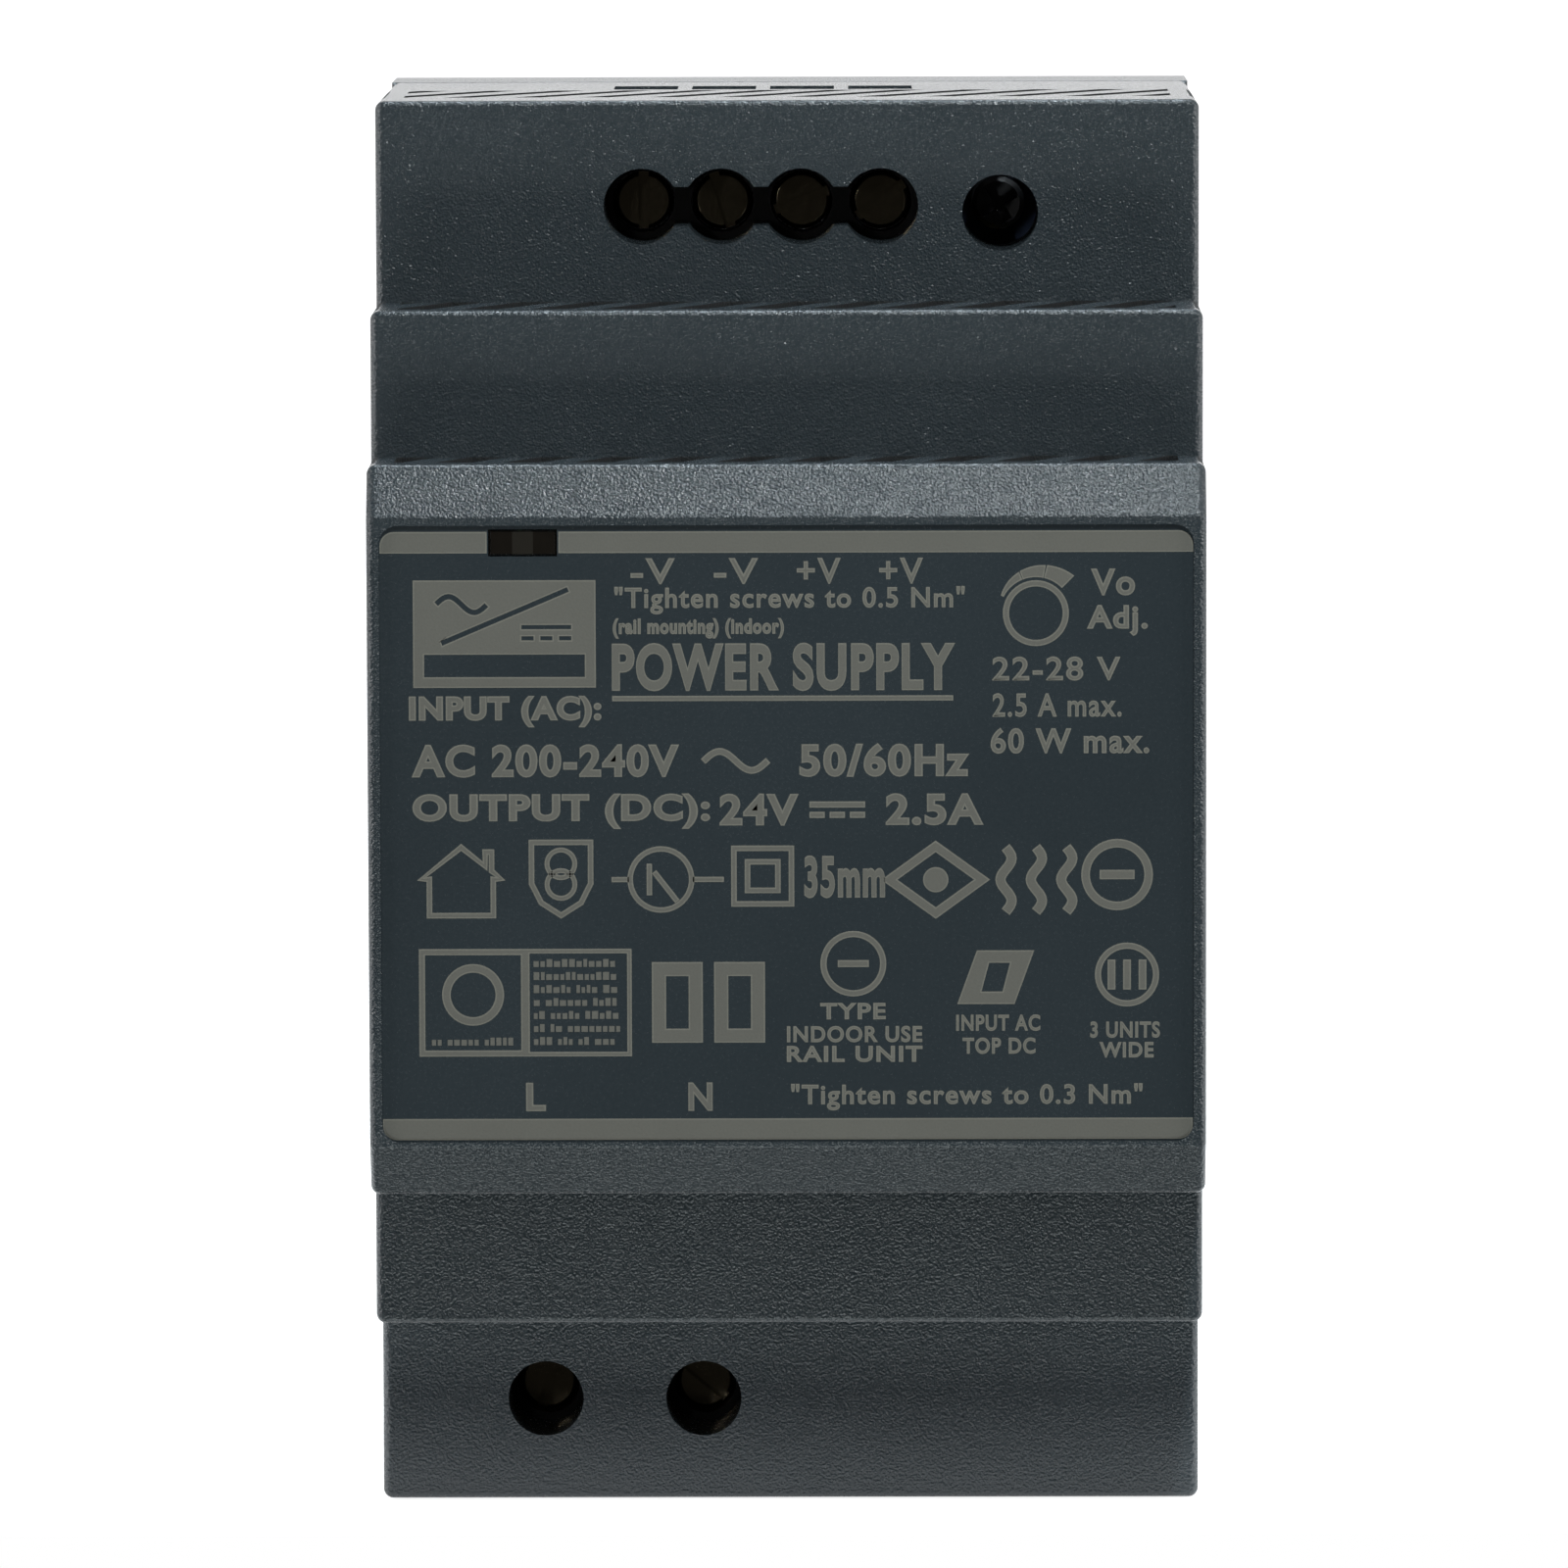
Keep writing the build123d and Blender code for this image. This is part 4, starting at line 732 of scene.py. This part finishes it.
def ribbon(points, width, closed=False):
    """Outlines of a line of this width through the points, with mitred corners."""
    half = width / 2
    total = len(points)
    sides = ([], [])
    for i, (x, z) in enumerate(points):
        ends = []
        if closed or i > 0:
            ends.append((points[i - 1], points[i]))
        if closed or i < total - 1:
            ends.append((points[i], points[(i + 1) % total]))
        normals = []
        for (ax, az), (bx, bz) in ends:
            run = math.hypot(bx - ax, bz - az)
            normals.append((-(bz - az) / run, (bx - ax) / run))
        nx = sum(n[0] for n in normals) / len(normals)
        nz = sum(n[1] for n in normals) / len(normals)
        scale = half / max(nx * nx + nz * nz, 0.25)
        sides[0].append((x + nx * scale, z + nz * scale))
        sides[1].append((x - nx * scale, z - nz * scale))
    if closed:
        return [sides[0], sides[1]]
    return [sides[0] + sides[1][::-1]]


def as_mesh(name, data):
    """The mesh of a curve or text, with its doubled edges merged."""
    holder = bpy.data.objects.new(name, data)
    bpy.context.scene.collection.objects.link(holder)
    bpy.context.view_layer.update()
    ready = holder.evaluated_get(bpy.context.evaluated_depsgraph_get())
    mesh = bpy.data.meshes.new_from_object(ready)
    bpy.data.objects.remove(holder)
    return mesh


# %% [markdown]
# A mark drawn flat in the XY plane is stood up to face the front: its X stays, its Y becomes the height
# Z, and its thickness points towards -Y, out of the label field.

# %% Placing marks
def stand_up(mesh, x, z, scale_x=1.0, scale_z=1.0):
    """Turns a flat mesh to face the front, with its origin at x, z on the label field."""
    turn = Matrix.Rotation(math.radians(90), 4, "X")
    size = Matrix.Diagonal((scale_x, scale_z, 1.0, 1.0))
    mesh.transform(Matrix.Translation((x, LABEL_Y, z)) @ turn @ size)
    return mesh


def outline(loops):
    """Adds the outlines, in millimetres, to the marks: even-odd, so an inner loop is a hole."""
    for grow_by, height, store in ((-MARK_RIM, MARK_FILL_HEIGHT, fills),
                                   (MARK_RIM, MARK_RIM_HEIGHT, rims)):
        data = bpy.data.curves.new("mark", "CURVE")
        data.dimensions = "2D"
        data.fill_mode = "BOTH"
        data.extrude = height
        data.offset = grow_by
        for loop in loops:
            spline = data.splines.new("POLY")
            spline.points.add(len(loop) - 1)
            for point, (x, z) in zip(spline.points, loop):
                point.co = (x * MM, z * MM, 0, 1)
            spline.use_cyclic_u = True
        store.append(stand_up(as_mesh("mark", data), 0, 0))


def words(text, left, right, low, high, weight=0.0, spacing=1.12):
    """Adds lettering that fills this box, in millimetres."""
    for grow_by, height, store in ((-MARK_RIM, MARK_FILL_HEIGHT, fills),
                                   (MARK_RIM, MARK_RIM_HEIGHT, rims)):
        data = bpy.data.curves.new("words", "FONT")
        data.body = text
        data.size = 1.0
        data.space_character = spacing
        probe = as_mesh("probe", data)
        xs = [v.co.x for v in probe.vertices]
        ys = [v.co.y for v in probe.vertices]
        scale_x = (right - left) * MM / (max(xs) - min(xs))
        scale_z = (high - low) * MM / (max(ys) - min(ys))
        data.offset = (grow_by + weight * MM) / scale_z
        data.extrude = height
        data.resolution_u = 6
        mesh = as_mesh("words", data)
        mesh.transform(Matrix.Translation((-min(xs), -min(ys), 0)))
        store.append(stand_up(mesh, left * MM, low * MM, scale_x, scale_z))


# %% [markdown]
# ## Terminal names and bars
# Two plain bars close the label field at the top and the bottom. The upper one is broken by the lamp
# window. Over the field stand the names of the output poles, and under it those of the input poles:
# plain electrical letters that any supply of this kind carries.

# %% Bars and terminal names
window_low, window_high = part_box("lamp_window")
FIELD_HALF = 25.35
lamp_left, lamp_right = window_low.x / MM + 0.75, window_high.x / MM - 0.75
FIELD_ROUND = 0.85
outline([rounded_box(-FIELD_HALF, 17.6, lamp_left - 0.08, 18.86, (0, 0, 0, FIELD_ROUND))])
outline([rounded_box(lamp_right + 0.08, 17.6, FIELD_HALF, 18.86, (0, 0, FIELD_ROUND, 0))])
outline([rounded_box(-FIELD_HALF, -19.33, FIELD_HALF, -18.08, (FIELD_ROUND, FIELD_ROUND, 0, 0))])
for middle, text in ((-8.35, "-V"), (-3.15, "-V"), (2.02, "+V"), (7.16, "+V")):
    words(text, middle - 1.32, middle + 1.32, 15.64, 17.18)
words("L", -16.31, -15.27, -17.46, -15.85, 0.05)
words("N", -6.15, -4.80, -17.46, -15.85, 0.05)
print("marks so far:", len(fills))

# %% [markdown]
# ## Names of the sides
# Large letters name the input and the output, with the usual signs for alternating and direct current.
# The name of the device is the plain name of its kind.

# %% Side names
words("POWER SUPPLY", -10.8, 10.3, 9.05, 11.75, 0.12)
outline([box_loop(-10.86, 8.31, 10.37, 8.55)])
words("INPUT (AC):", -23.5, -11.7, 6.75, 8.5, 0.07)
words("AC 200-240V", -23.3, -6.9, 3.6, 5.45, 0.07)
words("50/60Hz", 0.9, 11.2, 3.6, 5.45, 0.07)
words("OUTPUT (DC):", -23.3, -4.95, 0.35, 2.35, 0.07)
words("24V", -4.1, 0.55, 0.54, 2.33, 0.07)
words("2.5A", 6.3, 12.1, 0.54, 2.33, 0.07)
words("\"Tighten screws to 0.5 Nm\"", -10.7, 11.1, 13.75, 15.4)
words("(rail mounting) (indoor)", -10.8, -0.2, 12.25, 13.4, 0.02)
words("22-28 V", 12.9, 20.8, 9.54, 10.96)
words("2.5 A max.", 12.9, 20.9, 7.26, 8.67)
words("60 W max.", 12.8, 22.6, 4.98, 6.46, 0.02)
words("\"Tighten screws to 0.3 Nm\"", 0.25, 22.2, -17.5, -15.9)


def sine_mark(left, right, middle, swing, width):
    """The sign for alternating current: one full wave."""
    count = 25
    points = []
    for i in range(count):
        turn = i / (count - 1)
        points.append((left + (right - left) * turn, middle + swing * math.sin(2 * math.pi * turn)))
    outline(ribbon(points, width))


def direct_mark(left, right, middle, gap, width):
    """The sign for direct current: a line over three dashes."""
    outline([box_loop(left, middle + gap / 2, right, middle + gap / 2 + width)])
    dash = (right - left) / 3.9
    for i in range(3):
        start = left + i * (right - left - dash) / 2
        outline([box_loop(start, middle - gap / 2 - width, start + dash, middle - gap / 2)])


sine_mark(-5.2, -1.2, 4.5, 0.6, 0.34)
direct_mark(1.45, 4.85, 1.42, 0.35, 0.30)

# %% [markdown]
# ## Converter sign
# In the upper left corner stands the drawing-office sign of an AC to DC converter: a square split by a
# diagonal, a wave in one half and the direct current sign in the other. It is cut out of a solid plate,
# with an empty strip below.

# %% Converter sign
SIGN_LEFT, SIGN_LOW, SIGN_RIGHT, SIGN_HIGH = -23.29, 9.17, -11.96, 15.82
wave_points = [(-21.9 + 3.2 * i / 20, 14.35 + 0.5 * math.sin(2 * math.pi * i / 20)) for i in range(21)]
sign_cuts = ribbon(wave_points, 0.42)
sign_cuts += ribbon([(-21.6, 11.9), (-13.6, 15.3)], 0.40)
sign_cuts += [box_loop(-16.6, 12.75, -13.4, 13.10), box_loop(-16.6, 12.05, -15.75, 12.40),
              box_loop(-15.42, 12.05, -14.58, 12.40), box_loop(-14.25, 12.05, -13.4, 12.40)]
sign_cuts += [box_loop(SIGN_LEFT + 0.6, 9.75, SIGN_RIGHT - 0.6, 11.25)]
outline([box_loop(SIGN_LEFT, SIGN_LOW, SIGN_RIGHT, SIGN_HIGH)] + sign_cuts)

# %% [markdown]
# ## Trimmer sign
# Next to the trimmer's hole stands its sign: a ring for the knob and a wedge that widens in three steps
# round it, for turning the voltage up.

# %% Trimmer sign
DIAL_X, DIAL_Z = 15.58, 13.73
outline([arc_points(DIAL_X, DIAL_Z, 2.02), arc_points(DIAL_X, DIAL_Z, 1.72)])
for start, stop, rise_from, rise_to in ((152, 113, 0.12, 0.45), (110, 79, 0.48, 0.72), (76, 45, 0.75, 1.0)):
    count = 10
    near, far = [], []
    for i in range(count):
        share = i / (count - 1)
        angle = math.radians(start + (stop - start) * share)
        lift = rise_from + (rise_to - rise_from) * share
        near.append((DIAL_X + 2.30 * math.cos(angle), DIAL_Z + 2.30 * math.sin(angle)))
        far.append((DIAL_X + (2.30 + lift) * math.cos(angle), DIAL_Z + (2.30 + lift) * math.sin(angle)))
    outline([near + far[::-1]])
words("Vo", 19.12, 21.70, 14.90, 16.44, 0.03)
words("Adj.", 18.88, 22.49, 12.37, 14.16, 0.03)

# %% [markdown]
# ## Signs of use
# A row of drawing-office signs tells how such a supply may be used: a house for indoor use, a shielded
# isolating transformer, a switching supply and the double square of protective insulation.

# %% Signs of use
LINE = 0.26
house = [(-22.4, -5.2), (-22.4, -2.9), (-22.9, -2.9), (-20.4, -0.9), (-18.9, -2.1), (-18.9, -1.2),
         (-18.5, -1.2), (-18.5, -2.4), (-17.9, -2.9), (-18.4, -2.9), (-18.4, -5.2)]
outline(ribbon(house, LINE, closed=True))
shield = [(-16.0, -0.6), (-16.0, -3.2), (-15.4, -4.4), (-14.16, -5.2), (-12.9, -4.4), (-12.3, -3.2),
          (-12.3, -0.6)]
outline(ribbon(shield, LINE, closed=True))
for middle in (-1.95, -3.25):
    outline([arc_points(-14.16, middle, 0.98), arc_points(-14.16, middle, 0.76)])
outline([arc_points(-7.9, -2.95, 2.05), arc_points(-7.9, -2.95, 1.80)])
for left, right in ((-10.95, -9.95), (-5.85, -4.0)):
    outline([box_loop(left, -3.07, right, -2.83)])
outline([box_loop(-8.75, -3.9, -8.5, -2.0)])
outline(ribbon([(-8.3, -2.5), (-6.9, -4.3)], LINE))
for half_w, half_h in ((1.8, 1.75), (0.95, 0.9)):
    outline(ribbon([(-1.53 - half_w, -2.75 - half_h), (-1.53 + half_w, -2.75 - half_h),
                    (-1.53 + half_w, -2.75 + half_h), (-1.53 - half_w, -2.75 + half_h)], LINE, closed=True))

# %% [markdown]
# ## Approval fields
# A real nose also carries approval marks, which belong to their owners. Plain placeholders fill the
# same fields here: rings, squares and bars that name nobody.

# %% Approval fields
words("35mm", 1.15, 6.05, -4.0, -1.6, 0.10)
outline(ribbon([(9.3, -0.9), (12.2, -3.0), (9.3, -5.1), (6.4, -3.0)], 0.5, closed=True))
outline([arc_points(9.3, -3.0, 0.75)])
for middle in (13.7, 15.6, 17.5):
    rise = [(middle + 0.35 * math.sin(2 * math.pi * k / 16), -5.0 + 4.0 * k / 24) for k in range(25)]
    outline(ribbon(rise, 0.55))
outline([arc_points(20.65, -2.7, 2.2), arc_points(20.65, -2.7, 1.75)])
outline([box_loop(19.6, -2.95, 21.7, -2.45)])
outline([box_loop(-23.04, -14.05, -9.8, -7.35), box_loop(-16.2, -13.85, -10.0, -7.55),
         box_loop(-22.75, -13.75, -16.65, -7.65)])
outline([arc_points(-19.7, -10.2, 1.9), arc_points(-19.7, -10.2, 1.45)])
for text, left, right, low, high in (
        ("TYPE", 2.1, 6.1, -11.75, -10.8), ("INDOOR USE", 0.0, 8.4, -13.2, -12.25),
        ("RAIL UNIT", 0.0, 8.4, -14.45, -13.5), ("INPUT AC", 10.6, 15.8, -12.5, -11.55),
        ("TOP DC", 11.0, 15.5, -13.95, -13.0), ("3 UNITS", 19.0, 23.3, -12.95, -12.0),
        ("WIDE", 19.6, 22.9, -14.2, -13.3)):
    words(text, left, right, low, high)
for x in (-6.9, -3.0):
    outline([box_loop(x - 1.55, -13.2, x + 1.55, -8.2), box_loop(x - 0.75, -12.4, x + 0.75, -9.0)])
outline([arc_points(4.13, -8.28, 2.02), arc_points(4.13, -8.28, 1.72)])
outline([box_loop(3.2, -8.45, 5.06, -8.1)])
outline([[(10.7, -10.8), (14.2, -10.8), (15.4, -7.5), (11.9, -7.5)],
         [(12.1, -10.1), (13.5, -10.1), (14.0, -8.2), (12.6, -8.2)]])
outline([arc_points(21.27, -9.0, 1.97), arc_points(21.27, -9.0, 1.67)])
outline([box_loop(left, -9.9, left + 0.4, -8.1) for left in (20.1, 21.07, 22.04)])
print("marks:", len(fills))


# %% [markdown]
# ## Lines of small print
# Small print is shown as draughtsmen show it, as rows of little blocks with the rhythm of words but
# no letters. Geometry Nodes lay them out: a row of points gets random widths, the widths are added up to
# find where each block starts, and a point now and then leaves a wider gap for a space.

# %% Small print tree
def print_tree():
    grower = Grower("small_print")
    length, height = grower.ask("Length"), grower.ask("Height")
    thick, seed = grower.ask("Thickness"), grower.ask("Seed", "Int")
    count = 90
    row = grower.add("GeometryNodePoints", None, {"Count": count})
    broad = grower.add("FunctionNodeRandomValue", {"data_type": "FLOAT"},
                       {2: 0.42, 3: 0.80, "Seed": seed}, out=1) * height
    ends_word = grower.add("FunctionNodeRandomValue", {"data_type": "FLOAT"},
                           {2: 0.0, 3: 1.0, "Seed": seed + 7}, out=1) > 0.80
    step = broad + height * 0.20 + ends_word * height * 0.55
    sums = grower.add("GeometryNodeAccumulateField", {"data_type": "FLOAT"}, {0: step}, out="Trailing")
    tall = grower.add("FunctionNodeRandomValue", {"data_type": "FLOAT"},
                      {2: 0.0, 3: 1.0, "Seed": seed + 13}, out=1) > 0.62
    rise = height * (0.74 + tall * 0.26)
    start = grower.add("ShaderNodeCombineXYZ", None, {"X": sums})
    laid = grower.add("GeometryNodeSetPosition", None, {"Geometry": row, "Offset": start})
    where = grower.add("GeometryNodeInputPosition")
    reach = grower.add("ShaderNodeSeparateXYZ", None, {"Vector": where}).out("X")
    kept = grower.add("GeometryNodeDeleteGeometry", None,
                      {"Geometry": laid, "Selection": reach + height * 0.8 > length})
    letter = grower.add("GeometryNodeMeshCube", None, {"Size": (1.0, 1.0, 1.0)})
    based = grower.add("GeometryNodeTransform", None, {"Geometry": letter, "Translation": (0.5, 0.5, 0.0)})
    sized = grower.add("ShaderNodeCombineXYZ", None, {"X": broad, "Y": rise, "Z": thick * 2})
    blocks = grower.add("GeometryNodeInstanceOnPoints", None,
                        {"Points": kept, "Instance": based, "Scale": sized})
    return grower.end(blocks)


small_print = print_tree()


def print_line(left, right, low, high, seed):
    """A row of blocks in place of a line of small print, in millimetres."""
    piece = grow("print_line", small_print,
                 {"Length": (right - left) * MM, "Height": (high - low) * MM,
                  "Thickness": MARK_FILL_HEIGHT, "Seed": seed}, mark_finish)
    mesh = piece.data
    bpy.data.objects.remove(piece)
    fills.append(stand_up(mesh, left * MM, low * MM))


# %% Lay out the small print
LINES = [(-15.9, -10.3, -8.45 - 0.82 * i, -7.95 - 0.82 * i) for i in range(7)]
LINES += [(-22.3, -17.1, -13.4, -12.9)]
for i, (left, right, low, high) in enumerate(LINES):
    print_line(left, right, low, high, 11 + i)
print("lines of small print:", len(LINES))


# %% [markdown]
# ## Join the marks
# All fills become one piece and all rims another, so that the label is two meshes instead of dozens. Both
# ride on the housing, a hair above the label field.

# %% Join the marks
def join(name, meshes, material):
    """One piece made of several meshes."""
    joined = bmesh.new()
    for mesh in meshes:
        joined.from_mesh(mesh)
        bpy.data.meshes.remove(mesh)
    bmesh.ops.remove_doubles(joined, verts=joined.verts, dist=0.0005 * MM)
    mesh = bpy.data.meshes.new(name)
    joined.to_mesh(mesh)
    joined.free()
    piece = bpy.data.objects.new(name, mesh)
    bpy.context.scene.collection.objects.link(piece)
    return dress(piece, material)


for name, meshes, material in (("label_marks", fills, mark_finish), ("label_mark_rims", rims, rim_finish)):
    piece = join(name, meshes, material)
    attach(piece, "housing")
    print(name, "has", len(piece.data.polygons), "faces")

# %% [markdown]
# ## Floor, light and camera
# A small product is lit by soft boxes in a white room. The room is brightest behind the device, which
# lights its upward faces at a grazing angle, and dim behind the camera, which keeps the front dark. The
# camera sees plain white everywhere. The floor stops just under the nose, so that the polished label
# field has nothing pale to mirror.

# %% Floor
def floor_recipe(sheet, place):
    faint = sheet.noise(place, 60 * MM, 2.0)
    paper = sheet.mix(faint, (0.90, 0.90, 0.90), (0.93, 0.93, 0.93))
    return {"colour": paper, "roughness": faint * 0.1 + 0.7}


FLOOR_SIZE, FLOOR_FRONT = 6.0, 0.045
bpy.ops.mesh.primitive_plane_add(size=FLOOR_SIZE, location=(0, 0, 0))
floor = bpy.context.object
floor.name = "floor"
floor.data.transform(Matrix.Translation((0, FLOOR_SIZE / 2 - FLOOR_FRONT, cad_box[0].z - 0.1 * MM)))
dress(floor, finish("floor_paper", floor_recipe, emission_color=(1, 1, 1, 1), emission_strength=0.84))

# %% World
world = bpy.data.worlds.new("room")
bpy.context.scene.world = world
world.use_nodes = True
world.node_tree.nodes.clear()
room = Sheet(world.node_tree)
way = room.add("ShaderNodeTexCoord", out="Generated")
deep = room.add("ShaderNodeSeparateXYZ", None, {"Vector": way}).out("Y") * 0.5 + 0.5
FRONT_LEVEL, BACK_LEVEL = 0.035, 1.5
level = deep ** 4.0 * (BACK_LEVEL - FRONT_LEVEL) + FRONT_LEVEL
lit = room.add("ShaderNodeBackground", None, {"Color": (1, 1, 1, 1), "Strength": level})
seen = room.add("ShaderNodeBackground", None, {"Color": (1, 1, 1, 1), "Strength": 1.0})
eye = room.add("ShaderNodeLightPath", out="Is Camera Ray")
both = room.add("ShaderNodeMixShader", None, {0: eye, 1: lit, 2: seen})
room.add("ShaderNodeOutputWorld", None, {"Surface": both})


# %% [markdown]
# A small light over the front stands where the upper bevel mirrors it, which makes its grain sparkle. One
# from above picks out the steps between the vents, one from below fills the lower tiers, a weak one
# beside the camera reaches into the holes, and two tall ones brighten the sides.

# %% Lights
def soft_box(name, spot, aim, width, height, watts, colour=(1.0, 1.0, 1.0)):
    """A rectangular area light at `spot` that points at `aim`, in millimetres."""
    lamp = bpy.data.lights.new(name, "AREA")
    lamp.color = colour
    lamp.shape = "RECTANGLE"
    lamp.size, lamp.size_y = width * MM, height * MM
    lamp.energy = watts
    holder = bpy.data.objects.new(name, lamp)
    bpy.context.scene.collection.objects.link(holder)
    here, there = Vector(spot) * MM, Vector(aim) * MM
    facing = (there - here).to_track_quat("-Z", "Y").to_matrix().to_4x4()
    holder.matrix_world = Matrix.Translation(here) @ facing
    return holder


soft_box("over_front", (58, -238, 252), (0, -45, 10), 24, 20, 0.74, (0.90, 0.98, 1.0))
soft_box("above", (30, 60, 620), (0, -35, 30), 120, 120, 2.8, (0.80, 0.92, 1.0))
soft_box("near_camera", (-120, -560, 90), (0, -25, 38), 8, 30, 0.10)
soft_box("below_front", (0, -420, -330), (0, -45, -20), 500, 160, 1.25, (0.92, 1.0, 1.0))
soft_box("left_side", (-520, -160, 120), (0, -30, 0), 160, 420, 1.6)
soft_box("right_side", (520, -160, 120), (0, -30, 0), 160, 420, 1.6)

# %% Camera
LENS = 272.2                                   # long, so that the tiers stay parallel
CAMERA_SPOT = Vector((5.1, -786.9, 78.1)) * MM
TILT, PAN, ROLL = 5.81, -0.41, 0.17            # degrees down, left and round
camera_data = bpy.data.cameras.new("camera")
camera_data.sensor_width = 36.0
camera_data.lens = LENS
camera_data.clip_end = 20.0
camera = bpy.data.objects.new("camera", camera_data)
bpy.context.scene.collection.objects.link(camera)
tilt, pan, roll = math.radians(TILT), math.radians(PAN), math.radians(ROLL)
ahead = Vector((math.cos(tilt) * math.sin(pan), math.cos(tilt) * math.cos(pan), -math.sin(tilt)))
level_right = Vector((math.cos(pan), -math.sin(pan), 0))
level_up = level_right.cross(ahead)
right = level_right * math.cos(roll) - level_up * math.sin(roll)
up = level_right * math.sin(roll) + level_up * math.cos(roll)
turned = Matrix((right, up, -ahead)).transposed()
camera.matrix_world = Matrix.Translation(CAMERA_SPOT) @ turned.to_4x4()
bpy.context.scene.camera = camera
bpy.context.scene.view_settings.view_transform = "Standard"
print("camera", round(CAMERA_SPOT.length / MM), "mm away")
